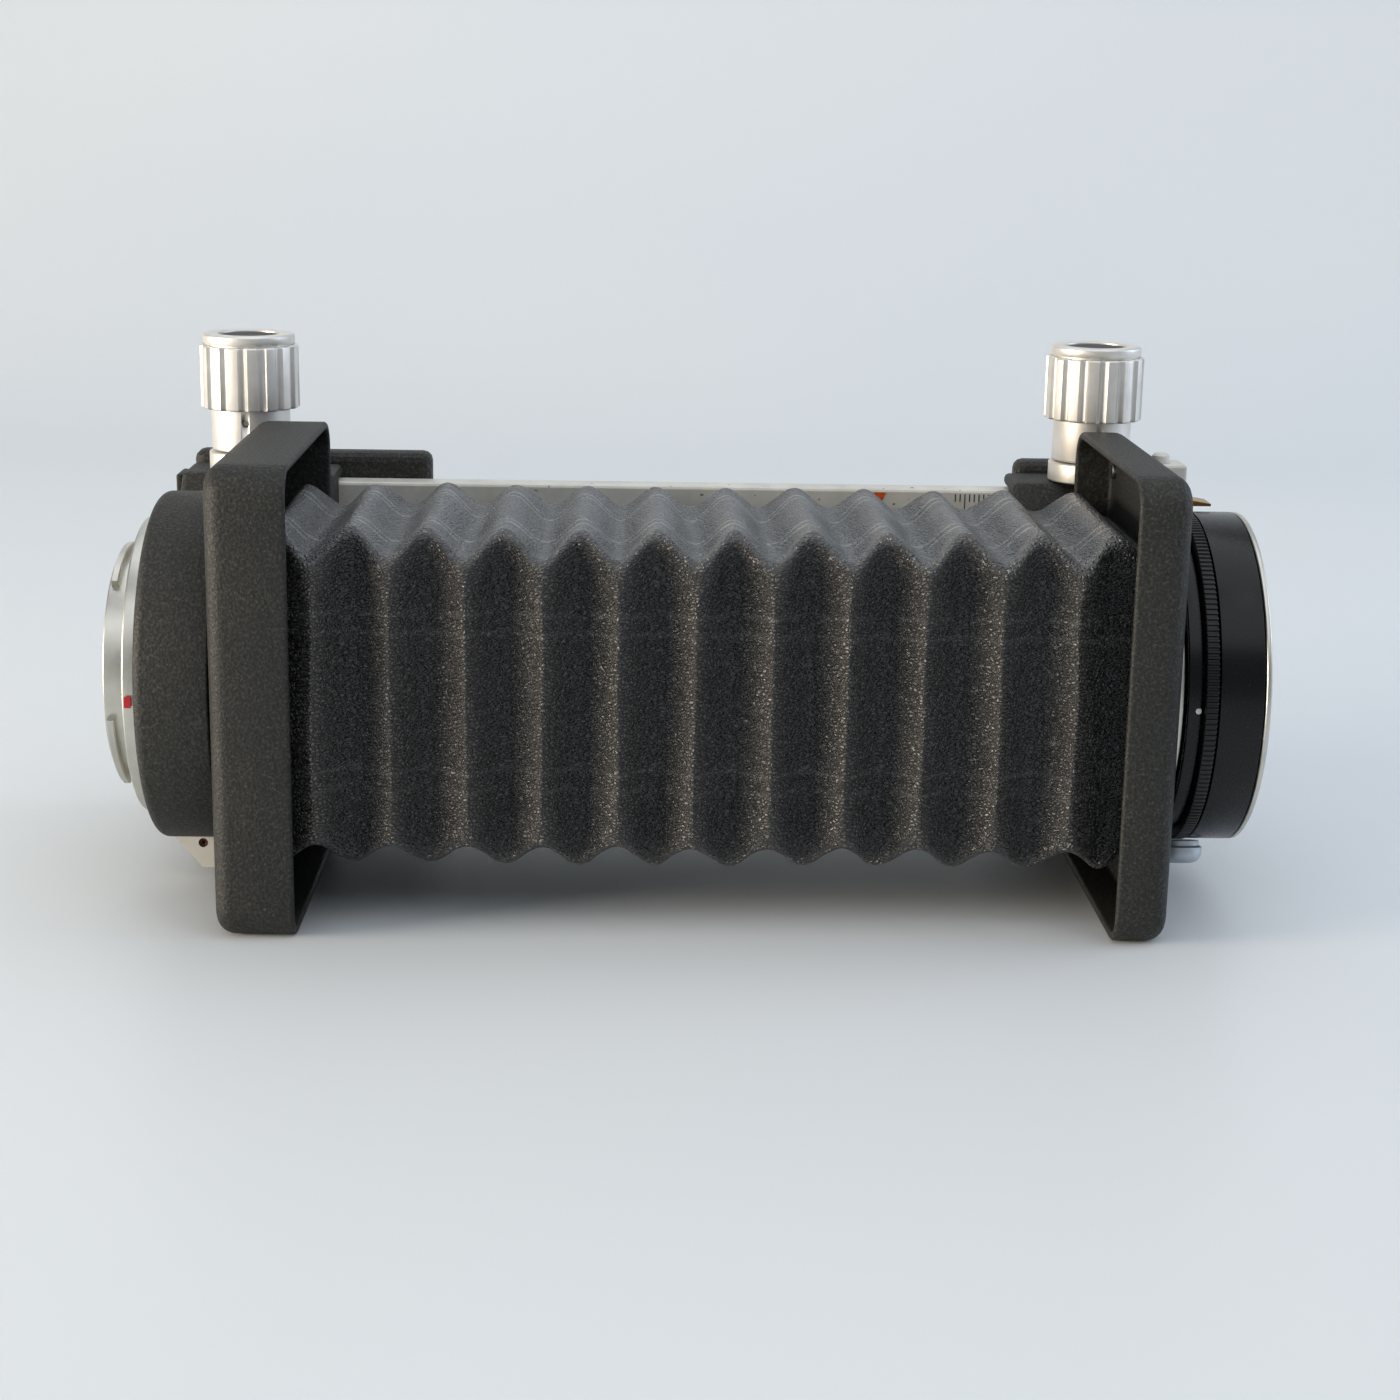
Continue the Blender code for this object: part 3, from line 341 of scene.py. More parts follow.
turnedSets = {
    "blasted": {"metallic": 0.8, "light": "#e6e3dd", "dark": "#dad7d0", "roughness": 0.42, "ringMm": 0.1,
                "gritMm": 0.18, "gritShare": 0.6, "bump": 0.35},
    "satinChrome": {"metallic": 1.0, "light": "#cfcdc4", "dark": "#c2c0b7", "roughness": 0.33, "ringMm": 0.25,
               "gritMm": 0.5, "gritShare": 0.4, "bump": 0.1},
    "anodised": {"metallic": 0.0, "light": "#08080b", "dark": "#050506", "roughness": 0.24, "ringMm": 0.12,
                 "gritMm": 0.3, "gritShare": 0.2, "bump": 0.12, "specular": 0.3},
    "mattAnodised": {"metallic": 0.0, "light": "#101012", "dark": "#0a0a0b", "roughness": 0.55,
                     "ringMm": 0.25, "gritMm": 0.2, "gritShare": 0.5, "bump": 0.3},
    "hardAnodised": {"metallic": 0.2, "light": "#121214", "dark": "#0b0b0c", "roughness": 0.36,
                     "ringMm": 0.2, "gritMm": 0.2, "gritShare": 0.5, "bump": 0.3},
    "blueSatin": {"metallic": 0.7, "light": "#c3cbd2", "dark": "#b4bdc5", "roughness": 0.4, "ringMm": 0.12,
                  "gritMm": 0.2, "gritShare": 0.5, "bump": 0.3},
    "steel": {"metallic": 1.0, "light": "#b9b8b4", "dark": "#9c9b97", "roughness": 0.28, "ringMm": 0.12,
              "gritMm": 0.3, "gritShare": 0.3, "bump": 0.3},
    "bronze": {"metallic": 1.0, "light": "#7d5646", "dark": "#5b3a30", "roughness": 0.35, "ringMm": 0.1,
               "gritMm": 0.3, "gritShare": 0.3, "bump": 0.3},
    "brass": {"metallic": 1.0, "light": "#c79f5c", "dark": "#a27a3e", "roughness": 0.3, "ringMm": 0.1,
              "gritMm": 0.3, "gritShare": 0.3, "bump": 0.3},
}
axisPoint = Vector((0, axisY, axisZ))
finishes = {
    "crinkle": wrinkleEnamel(),
    "leather": pleatedLeather(),
    "rail": brushedPlate("satinChromedBrassPlate", "#dcdad0", "#cbc8be", 0.44, 0.12, 30, 0.02, 0.2),
    "lever": brushedPlate("blastedZincPlate", "#d6d4cb", "#c8c6bd", 0.42, 0.2, 2, 0.0, 0.3),
    "chrome": turnedMetal("satinChromedBrass", "X", axisPoint, turnedSets["satinChrome"]),
    "anodised": turnedMetal("blackAnodisedAluminium", "X", axisPoint, turnedSets["anodised"]),
    "grip": turnedMetal("knurledHardAnodised", "X", axisPoint, turnedSets["hardAnodised"]),
    "steel": turnedMetal("turnedSteel", "X", axisPoint, turnedSets["steel"]),
    "blueSatin": turnedMetal("satinNickelSocket", "X", axisPoint, turnedSets["blueSatin"]),
    "brass": turnedMetal("turnedBrass", "X", axisPoint, turnedSets["brass"]),
    "bronze": turnedMetal("tarnishedBronzeScrew", "X", axisPoint, turnedSets["bronze"]),
    "lining": paintFill("flockedBlackLining", "#121212", "#0a0a0a", 0.85),
    "red": paintFill("redEnamelFill", "#c4161c", "#a90f16", 0.35),
    "orange": paintFill("orangeEnamelFill", "#d95a1f", "#b64514", 0.4),
    "white": paintFill("whiteEnamelFill", "#e4e2da", "#cfccc2", 0.4),
    "ink": paintFill("blackScaleFill", "#2a2522", "#151312", 0.5),
    "paper": studioPaper(),
}
knobFinishes = (
    ("Knob", "clearAnodisedKnob", "blasted"),
    ("Cap", "mattAnodisedCap", "mattAnodised"),
    ("Steel", "turnedSteel", "steel"),
)
for side in ("rear", "front"):
    knobAt = middle(side + "_knob_bearing")
    for part, name, kind in knobFinishes:
        finishes[side + part] = turnedMetal(name + side.capitalize(), "Z", knobAt, turnedSets[kind])
print("materials made:", len(finishes))


directions = {
    "X": (Vector((0, 1, 0)), Vector((0, 0, 1)), Vector((1, 0, 0))),
    "Y": (Vector((0, 0, 1)), Vector((1, 0, 0)), Vector((0, 1, 0))),
    "Z": (Vector((1, 0, 0)), Vector((0, 1, 0)), Vector((0, 0, 1))),
}


def makeObject(name, mesh, material, sharpDeg=32):
    bmesh.ops.recalc_face_normals(mesh, faces=mesh.faces)
    data = bpy.data.meshes.new(name)
    mesh.to_mesh(data)
    mesh.free()
    data.shade_smooth()
    data.set_sharp_from_angle(angle=math.radians(sharpDeg))
    thing = bpy.data.objects.new(name, data)
    data.materials.append(finishes[material])
    bpy.context.scene.collection.objects.link(thing)
    return thing


def settle(thing, body, slotName, *nodes):
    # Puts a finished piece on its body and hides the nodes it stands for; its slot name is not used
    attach(thing, body)
    if nodes:
        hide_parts(*nodes)


def addSkin(mesh, rings, loop=False, capped=False):
    rows = [[mesh.verts.new(point) for point in ring] for ring in rings]
    pairs = list(zip(rows, rows[1:] + rows[:1] if loop else rows[1:]))
    for first, second in pairs:
        count = max(len(first), len(second))
        for i in range(count):
            j = (i + 1) % count
            if len(first) == 1:
                mesh.faces.new((first[0], second[i], second[j]))
            elif len(second) == 1:
                mesh.faces.new((first[i], second[0], first[j]))
            else:
                mesh.faces.new((first[i], second[i], second[j], first[j]))
    if capped:
        mesh.faces.new(rows[0])
        mesh.faces.new(rows[-1])
    return rows


def arc(centreA, centreB, radius, startDeg, endDeg, steps=4):
    # Points on a quarter round or any other part of one
    points = []
    for i in range(steps + 1):
        angle = math.radians(startDeg + (endDeg - startDeg) * i / steps)
        points.append((centreA + radius * math.cos(angle), centreB + radius * math.sin(angle)))
    return points


def addTurned(mesh, profile, basis, centre, steps=112, loop=False, shape=None):
    # profile holds (distance along the axis, radius); shape changes the radius round the piece
    side, up, along = directions[basis] if isinstance(basis, str) else basis
    rings = []
    for distance, radius in profile:
        count = steps if radius > 1e-7 else 1
        ring = []
        for i in range(count):
            angle = math.tau * i / count
            reach = radius * shape(angle, distance) if shape and count > 1 else radius
            out = side * math.cos(angle) + up * math.sin(angle)
            ring.append(Vector(centre) + along * distance + out * reach)
        rings.append(ring)
    addSkin(mesh, rings, loop)


def turned(name, profile, basis, centre, material, steps=112, loop=False, shape=None):
    mesh = bmesh.new()
    addTurned(mesh, profile, basis, centre, steps, loop, shape)
    return makeObject(name, mesh, material)


def roundTube(start, end, inner, outer, edge, steps=4):
    # Closed profile of a tube whose four edges are rounded
    points = arc(start + edge, outer - edge, edge, 180, 90, steps)
    points += arc(end - edge, outer - edge, edge, 90, 0, steps)
    points += arc(end - edge, inner + edge, edge, 0, -90, steps)
    points += arc(start + edge, inner + edge, edge, -90, -180, steps)
    return points


def roundRod(start, end, radius, edge, steps=4):
    points = [(start, 0)] + arc(start + edge, radius - edge, edge, 180, 90, steps)
    return points + arc(end - edge, radius - edge, edge, 90, 0, steps) + [(end, 0)]


def addPrism(mesh, outline, axis, start, end):
    side, up, along = directions[axis]
    rings = [[side * a + up * b + along * level for a, b in outline] for level in (start, end)]
    addSkin(mesh, rings, capped=True)


def roundEdges(thing, width, segments=3, angleDeg=35):
    edge = thing.modifiers.new("edge", "BEVEL")
    edge.width = width
    edge.segments = segments
    edge.limit_method = "ANGLE"
    edge.angle_limit = math.radians(angleDeg)
    edge.harden_normals = True


def drill(thing, axis, centre, start, end, radius):
    # Cuts a round hole for good, so that no cutter is left in the scene
    mesh = bmesh.new()
    addTurned(mesh, [(start, 0), (start, radius), (end, radius), (end, 0)], axis, centre, 32)
    cutter = makeObject("hole_cutter", mesh, "lining")
    modifier = thing.modifiers.new("hole", "BOOLEAN")
    modifier.object = cutter
    modifier.solver = "EXACT"
    bpy.context.view_layer.update()
    made = bpy.data.meshes.new_from_object(thing.evaluated_get(bpy.context.evaluated_depsgraph_get()))
    thing.modifiers.clear()
    thing.data = made
    bpy.data.objects.remove(cutter)


def addScrew(mesh, centre, basis, radius, height, slotTurn=0.0):
    # A slotted pan-head screw seen from its head; the axis points out of the head
    side, up, along = directions[basis] if isinstance(basis, str) else basis
    steps = 32
    turnSide = side * math.cos(slotTurn) + up * math.sin(slotTurn)
    turnUp = up * math.cos(slotTurn) - side * math.sin(slotTurn)
    half = radius * 0.15
    reach = radius * 0.79

    def ring(level, spread, slot=False):
        points = []
        for i in range(steps):
            angle = math.tau * (i + 0.5) / steps
            distance = radius * spread
            if slot:
                distance = min(half / abs(math.sin(angle)), reach / abs(math.cos(angle)), reach)
            out = turnSide * math.cos(angle) + turnUp * math.sin(angle)
            points.append(Vector(centre) + along * level + out * distance)
        return points

    rings = [ring(0, 1.0), ring(height * 0.45, 1.0), ring(height * 0.8, 0.94), ring(height, 0.81)]
    rings += [ring(height, 0, True), ring(height * 0.45, 0, True)]
    rings.append([Vector(centre) + along * height * 0.45])
    rows = addSkin(mesh, rings)
    mesh.faces.new(rows[0])


def roundedSquare(lowY, highY, lowZ, highZ, radius, cornerSteps=10, sideSteps=14):
    points = []
    corners = ((highY, highZ, 0), (lowY, highZ, 90), (lowY, lowZ, 180), (highY, lowZ, 270))
    midY = (lowY + highY) / 2
    midZ = (lowZ + highZ) / 2
    for index, (y, z, start) in enumerate(corners):
        cy = y - math.copysign(radius, y - midY)
        cz = z - math.copysign(radius, z - midZ)
        for i in range(cornerSteps + 1):
            angle = math.radians(start + 90 * i / cornerSteps)
            points.append((cy + radius * math.cos(angle), cz + radius * math.sin(angle)))
        nextY, nextZ, nextStart = corners[(index + 1) % 4]
        goalY = nextY - math.copysign(radius, nextY - midY)
        goalZ = nextZ - math.copysign(radius, nextZ - midZ)
        angle = math.radians(nextStart)
        goal = (goalY + radius * math.cos(angle), goalZ + radius * math.sin(angle))
        last = points[-1]
        for i in range(1, sideSteps):
            share = i / sideSteps
            points.append((last[0] + (goal[0] - last[0]) * share, last[1] + (goal[1] - last[1]) * share))
    return points


studioSet = {
    "sweepStartM": 0.55,
    "sweepRadiusM": 0.6,
    "halfWidthM": 3.0,
    "nearM": 2.5,
    "wallM": 3.0,
}


def makeStudio():
    mesh = bmesh.new()
    floorZ = cadBox[0].z
    outline = [(-studioSet["nearM"], floorZ), (studioSet["sweepStartM"], floorZ)]
    radius = studioSet["sweepRadiusM"]
    outline += arc(studioSet["sweepStartM"], floorZ + radius, radius, -90, 0, 24)[1:]
    outline.append((outline[-1][0], floorZ + studioSet["wallM"]))
    half = studioSet["halfWidthM"]
    rows = [[mesh.verts.new((x, y, z)) for y, z in outline] for x in (-half, half)]
    for i in range(len(outline) - 1):
        mesh.faces.new((rows[0][i], rows[1][i], rows[1][i + 1], rows[0][i + 1]))
    sweep = makeObject("studio_sweep", mesh, "paper")


lightSet = {
    # place and aim in metres, size in metres, power in watts, colour
    "left": ((-1.1, -0.35, 0.2), (0, 0, 0.05), (0.5, 0.3), 16.0, "#fff0dc"),
    "right": ((1.15, 0.10, 0.45), (0, 0, 0.05), (0.8, 0.7), 5.0, "#dfeaff"),
    "front": ((0.0, -0.9, 1.1), (0, 0, 0), (2.2, 0.9), 6.5, "#f7faff"),
    "top": ((0.15, 0.25, 1.4), (0.1, 0.15, 0), (1.8, 1.3), 8.0, "#f7faff"),
}
worldSet = {"colour": "#dfe6ee", "strength": 0.34}


def makeLights():
    for name, (place, aim, size, power, colour) in lightSet.items():
        data = bpy.data.lights.new(name + "Softbox", "AREA")
        data.shape = "RECTANGLE"
        data.size, data.size_y = size
        data.energy = power
        data.color = toLinear(colour)[:3]
        lamp = bpy.data.objects.new(name + "Softbox", data)
        lamp.location = place
        lamp.rotation_euler = (Vector(aim) - Vector(place)).to_track_quat("-Z", "Y").to_euler()
        bpy.context.scene.collection.objects.link(lamp)
    world = bpy.data.worlds.new("studio")
    bpy.context.scene.world = world
    world.use_nodes = True
    sky = world.node_tree.nodes["Background"]
    sky.inputs["Color"].default_value = toLinear(worldSet["colour"])
    sky.inputs["Strength"].default_value = worldSet["strength"]


makeStudio()
makeLights()
bpy.context.scene.view_settings.view_transform = "Standard"
print("studio made")


standardSet = {
    "cornerMm": 6.0,
    "edgeMm": 3.4,
    "wallMm": 1.6,
    "plateMm": 2.5,
    "rimMm": 0.7,
    "filletMm": 1.0,
    "throatMm": 24.3,
}


def standardShell(side, faceX, rimX):
    node = side + "_standard"
    lowest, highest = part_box(node)
    inward = math.copysign(1, rimX - faceX)
    throat = standardSet["throatMm"] * mm

    def ring(level, inset):
        radius = max(standardSet["cornerMm"] * mm - inset, 0.9 * mm)
        outline = roundedSquare(
            lowest.y + inset, highest.y - inset, lowest.z + inset, highest.z - inset, radius)
        return [Vector((level, y, z)) for y, z in outline]

    def hole(level, radius):
        points = []
        for point in ring(level, 0):
            angle = math.atan2(point.z - axisZ, point.y - axisY)
            points.append(Vector((level, axisY + radius * math.cos(angle), axisZ + radius * math.sin(angle))))
        return points

    edge = standardSet["edgeMm"] * mm
    rim = standardSet["rimMm"] * mm
    wall = standardSet["wallMm"] * mm
    fillet = standardSet["filletMm"] * mm
    floorX = faceX + inward * standardSet["plateMm"] * mm
    bite = 0.3 * mm
    rings = [hole(floorX, throat), hole(faceX + inward * bite, throat), hole(faceX, throat + bite)]
    rings += [ring(faceX + inward * (edge - a), edge - b) for a, b in arc(0, 0, edge, 0, 90, 7)]
    rings += [ring(rimX - inward * (rim - a), rim - b) for a, b in arc(0, 0, rim, 90, 0, 4)]
    rings += [ring(rimX - inward * (rim - a), wall - rim + b) for a, b in arc(0, 0, rim, 0, 90, 4)]
    rings += [ring(floorX + inward * (fillet - a), wall + fillet - b) for a, b in arc(0, 0, fillet, 90, 0, 4)]
    mesh = bmesh.new()
    addSkin(mesh, rings, loop=True)
    shell = makeObject(side + "_standard_shell", mesh, "crinkle", 40)
    settle(shell, node, "crinkle", node)


standardShell("rear", low("rear_standard").x, high("rear_standard").x)
standardShell("front", high("front_standard").x, low("front_standard").x)
print("standards made")


bellowsSet = {
    "stripMm": (13.0, 16.6),  # the card stiffeners' edges, from the middle of each face
    "lineDepthMm": 0.1,
    "topSeamGlint": 0.6,  # how strongly the stiffeners' edge lines are painted light on the top faces: a painted highlight
    "sideSeamGlint": 0.06,
    "lineWidthMm": 0.35,
    "cornerMm": 2.8,
    "farGapMm": 0.8,  # kept to a standard's far wall by the folds that go into it
    "farBlendMm": 8.0,
    "crestMm": 0.6,  # how round a crest and a valley are, along X
    "topCrestMm": 1.5,
    "valleyMm": 1.5,
    "waveTops": 0.85,  # how far the top and bottom follow a smooth wave instead of pleats
    "waveFrom": 0.6,  # where a side face starts to turn into that wave, from its middle
    "waveTo": 0.94,
    "waveLift": 0.14,  # how much shallower the wave is than the pleats
    "hollow": 0.62,  # how much each pleat sags between its crests, from 0 to 1
    "calmMm": 3.0,  # an end stays plain over this length
    "columns": 41,
    "perFold": 16,
    "foldMm": 7.0,
    "bunch": 0.12,  # rows move toward the crests and valleys by this share of a fold
    "wanderMm": 0.45,
    "wanderPerMm": 1 / 23,
    "wrinkleMm": 0.16,
    "wrinklePerMm": 1 / 3.1,
    "leanMm": 0.5,
    "wallMm": 0.9,
    "looseMm": 0.3,
}


def readFoldLines():
    # The folds come from the CAD skins: every distinct X has one square of points
    lines = {}
    for node in ("bellows_rear_half", "bellows_front_half"):
        for vertex in frame["nodes"][node].data.vertices:
            near, tall = abs(vertex.co.y - axisY), abs(vertex.co.z - axisZ)
            key = next((x for x in lines if abs(x - vertex.co.x) < 0.1 * mm), vertex.co.x)
            old = lines.get(key, (0.0, 0.0))
            lines[key] = (max(old[0], near), max(old[1], tall))
    return [(key, near, tall) for key, (near, tall) in sorted(lines.items())]


def clip(value, lowest=0.0, highest=1.0):
    return max(lowest, min(highest, value))


def smoothTip(distance, width):
    # How much a rounded tip falls short of a sharp one, at a distance along X from it
    if distance >= width:
        return 0.0
    return (width - distance) ** 2 / (2 * width)


def sideSteps():
    # Places across a face from -1 to 1, closer together at the stiffener lines and corners
    places = {round(float(share), 4) for share in np.linspace(-1, 1, bellowsSet["columns"])}
    lineHalfMm = 29.0
    for way in (-1, 1):
        for strip in bellowsSet["stripMm"]:
            for offset in (-0.9, -0.6, -0.3, 0.0, 0.3, 0.6, 0.9):
                places.add(round(way * (strip + offset) / lineHalfMm, 4))
        for share in (0.915, 0.94, 0.965, 0.985):
            places.add(way * share)
    return sorted(places)


def keepShare(side, endX, joinX):
    # How much of its length one half of the bellows keeps when its standard is fully run in
    travel = max(abs(limit) for limit in joints[side + "_focus_slide"]["range_m"])
    span = abs(endX - joinX)
    return (span - travel) / span


def bellowsStations(lines):
    # Rows along X, a set number to each fold
    stations = []
    for first, second in zip(lines, lines[1:]):
        span = second[0] - first[0]
        count = max(5, int(round(bellowsSet["perFold"] * span / (bellowsSet["foldMm"] * mm))))
        for i in range(count):
            share = i / count
            stations.append(first[0] + span * (share - bellowsSet["bunch"] * math.sin(math.tau * share)))
    stations.append(lines[-1][0])
    return stations


def bellowsRow(x, lines, inner, depth, places):
    # The outline of the bellows at one X, before its corners are rounded, with its crest and seam values
    tips = np.array([line[0] for line in lines])
    near = float(np.interp(x, tips, [line[1] for line in lines]))
    tall = float(np.interp(x, tips, [line[2] for line in lines]))
    calm = clip(min(x - tips[0], tips[-1] - x) / (bellowsSet["calmMm"] * mm))
    tip = int(np.argmin(abs(tips - x)))
    before = max(tip - 1, 0)
    after = min(tip + 1, len(tips) - 1)
    slope = depth / max(tips[after] - tips[tip], tips[tip] - tips[before], 1e-6)

    def wave(size):
        lift = bellowsSet["waveLift"]
        return lift + (1 - lift) * (0.5 - 0.5 * math.cos(math.pi * clip((size - inner) / depth)))

    ring = []
    crestRow = []
    seamGlintRow = []
    for face in range(4):
        sideFace = face in (0, 2)
        for place in places[:-1]:
            # the face's own half size, and its half length where it meets its neighbour
            out, along = (near, tall) if sideFace else (tall, near)
            run = inner + depth * wave(along)
            isCrest = lines[tip][1 if sideFace else 2] > inner + depth / 2
            corner = max(0.0, (abs(place) - 0.72) / 0.28) ** 2
            hollow = bellowsSet["hollow"] * (1 - 0.75 * corner)
            shareUp = clip((out - inner) / depth)
            curved = shareUp * (1 - hollow) + shareUp * shareUp * hollow
            turn = (abs(place) - bellowsSet["waveFrom"]) / (bellowsSet["waveTo"] - bellowsSet["waveFrom"])
            turn = clip(turn)
            turn *= turn * (3 - 2 * turn)
            smooth = max(turn, 0.0 if sideFace else bellowsSet["waveTops"])
            curved += (wave(out) - curved) * smooth
            reach = out + (curved - shareUp) * depth
            crestWidth = bellowsSet["crestMm" if sideFace else "topCrestMm"]
            width = (crestWidth + 2.2 * corner if isCrest else bellowsSet["valleyMm"] * (1 + corner)) * mm
            steep = slope * (1 + hollow) if isCrest else slope * (1 - hollow)
            fall = smoothTip(abs(tips[tip] - x), width) * steep
            reach += (-fall if isCrest else fall) * (1 - smooth)
            across = place * run
            seam = 0.0
            for strip in bellowsSet["stripMm"]:
                away = (abs(across) - strip * mm) / (bellowsSet["lineWidthMm"] * mm)
                seam += math.exp(-away * away)
            reach -= bellowsSet["lineDepthMm"] * mm * seam * calm
            ring.append((face, place, reach, across, run))
            # crest value for the lightened crests: wear and painted highlight
            crestRow.append(shareUp ** 3)
            # seam glint: a painted highlight on the stiffener lines, stronger on the top face
            seamGlintRow.append(min(1.0, seam) * bellowsSet["topSeamGlint" if face == 1 else "sideSeamGlint"])
    return calm, ring, crestRow, seamGlintRow


def bellowsPoint(x, calm, farSide, face, place, reach, across, run):
    # Corners are an eighth of a circle from each of their two faces
    cornerR = bellowsSet["cornerMm"] * mm
    over = (abs(across) - (run - cornerR)) / cornerR
    if over > 0:
        bend = min(over, 1.0) * math.pi / 4
        reach -= cornerR * (1 - math.cos(bend))
        across = math.copysign(run - cornerR + cornerR * math.sin(bend), across)
    y, z = ((-reach, across), (across, reach), (reach, -across), (-across, -reach))[face]
    if y > 0:
        y *= farSide
    # an old bellows is never quite even
    at = Vector((x, y, z)) / mm
    drift = noise.noise(at * bellowsSet["wanderPerMm"])
    ripple = noise.noise(Vector((at.x * 0.5, at.y, at.z)) * bellowsSet["wrinklePerMm"] + Vector((7, 3, 1)))
    nearCorner = clip((abs(place) - 0.55) / 0.3)
    wrinkle = bellowsSet["wrinkleMm"] * mm * ripple * (0.35 + 1.4 * nearCorner)
    push = (bellowsSet["wanderMm"] * mm * drift + wrinkle) * calm
    lean = noise.noise(Vector((at.x * 0.05, at.y * 0.04, at.z * 0.03)) * 2)
    shiftX = bellowsSet["leanMm"] * mm * lean * calm
    return Vector((x + shiftX, axisY + y, axisZ + z)) + Vector((0, y, z)).normalized() * push


def makeBellows():
    # One grid: rows along X, columns round the four faces; then cut at the middle
    lines = readFoldLines()
    middleX = high("bellows_rear_half").x
    joinX = middleX + 0.15 * mm  # half the gap between the two CAD halves
    throat = next(line for line in lines if abs(line[0] - middleX) < 0.2 * mm)
    lines = [line for line in lines if abs(line[0] - middleX) > 0.5 * mm]
    lines.append((joinX, throat[1], throat[2]))
    lines.sort()
    rearEnd, frontEnd = lines[0][0], lines[-1][0]
    stations = bellowsStations(lines)
    outer = max(line[1] for line in lines)
    inner = min(line[1] for line in lines)
    places = sideSteps()
    # folds near each end slide into the standard's shell, so their far side stays within its wall
    farWall = high("rear_standard").y - (standardSet["wallMm"] + bellowsSet["farGapMm"]) * mm
    farShare = (farWall - axisY) / outer
    rearReach = (high("rear_standard").x - rearEnd) / keepShare("rear", rearEnd, joinX)
    frontReach = (frontEnd - low("front_standard").x) / keepShare("front", frontEnd, joinX)
    blend = bellowsSet["farBlendMm"] * mm
    loose = bellowsSet["looseMm"] * mm
    lowest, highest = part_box("bellows_rear_half")
    rings = []
    crestValues = []
    seamGlintValues = []
    for x in stations:
        calm, ring, crestRow, seamGlintRow = bellowsRow(x, lines, inner, outer - inner, places)
        free = min(x - rearEnd - rearReach, frontEnd - x - frontReach) / blend
        farSide = farShare + (1 - farShare) * clip(free)
        points = [bellowsPoint(x, calm, farSide, *column) for column in ring]
        for point in points:
            point.y = clip(point.y, lowest.y - loose, highest.y + loose)
            point.z = clip(point.z, lowest.z - loose, highest.z + loose)
        rings.append(points)
        crestValues.append(crestRow)
        seamGlintValues.append(seamGlintRow)
    joinRow = int(np.argmin(abs(np.array(stations) - joinX)))
    for point in rings[joinRow]:
        point.x = joinX
    bellowsHalf("rear", range(0, joinRow + 1), rings, crestValues, seamGlintValues)
    bellowsHalf("front", range(joinRow, len(rings)), rings, crestValues, seamGlintValues)


def bellowsHalf(side, rows, rings, crestValues, seamGlintValues):
    # Closes one half with a plain inner skin
    wall = bellowsSet["wallMm"] * mm
    rows = list(rows)
    insideRows = rows[::4] + ([rows[-1]] if rows[-1] not in rows[::4] else [])
    innerRings = []
    for row in reversed(insideRows):
        ring = []
        for point in rings[row]:
            offset = Vector((0, point.y - axisY, point.z - axisZ))
            ring.append(point - offset * (wall / max(abs(offset.y), abs(offset.z))))
        innerRings.append(ring)
    mesh = bmesh.new()
    crestLayer = mesh.verts.layers.float.new("crest")
    seamGlintLayer = mesh.verts.layers.float.new("seam")
    made = addSkin(mesh, [rings[row] for row in rows] + innerRings, loop=True)
    for row, vertices in zip(rows, made):
        for vertex, crest, seam in zip(vertices, crestValues[row], seamGlintValues[row]):
            vertex[crestLayer] = crest
            vertex[seamGlintLayer] = seam
    piece = makeObject("bellows_%s_pleats" % side, mesh, "leather", 75)
    settle(piece, "rail", "leather", "bellows_%s_half" % side)
    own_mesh(piece)


makeBellows()
print("bellows made")


railSet = {
    "tickMm": 0.22,
    "tickLongMm": 3.4,
    "tickMidMm": 2.5,
    "tickShortMm": 1.6,
    "numberMm": 2.6,
    "inkMm": 0.05,
    "markMm": 2.6,
    "markAtMm": 42.0,  # the orange mark, from the middle of the rail
    "stopScrewMm": 1.9,
    "stopScrewHeadMm": 0.9,
    "stopScrewInMm": 9.0,
    "footScrewMm": 2.4,
    "footScrewHeadMm": 0.55,
    "footScrewInMm": 5.0,
    "scaleFromMm": 58,
}


def paintNode(node, finish, bevelMm=0.0):
    # Keeps a CAD node whose shape is right and gives it its finish
    thing = frame["nodes"][node]
    thing.data.materials.clear()
    thing.data.materials.append(finishes[finish])
    if bevelMm:
        roundEdges(thing, bevelMm * mm)


def addBox(mesh, x0, x1, y0, y1, z0, z1):
    addPrism(mesh, [(y0, z0), (y1, z0), (y1, z1), (y0, z1)], "X", x0, x1)


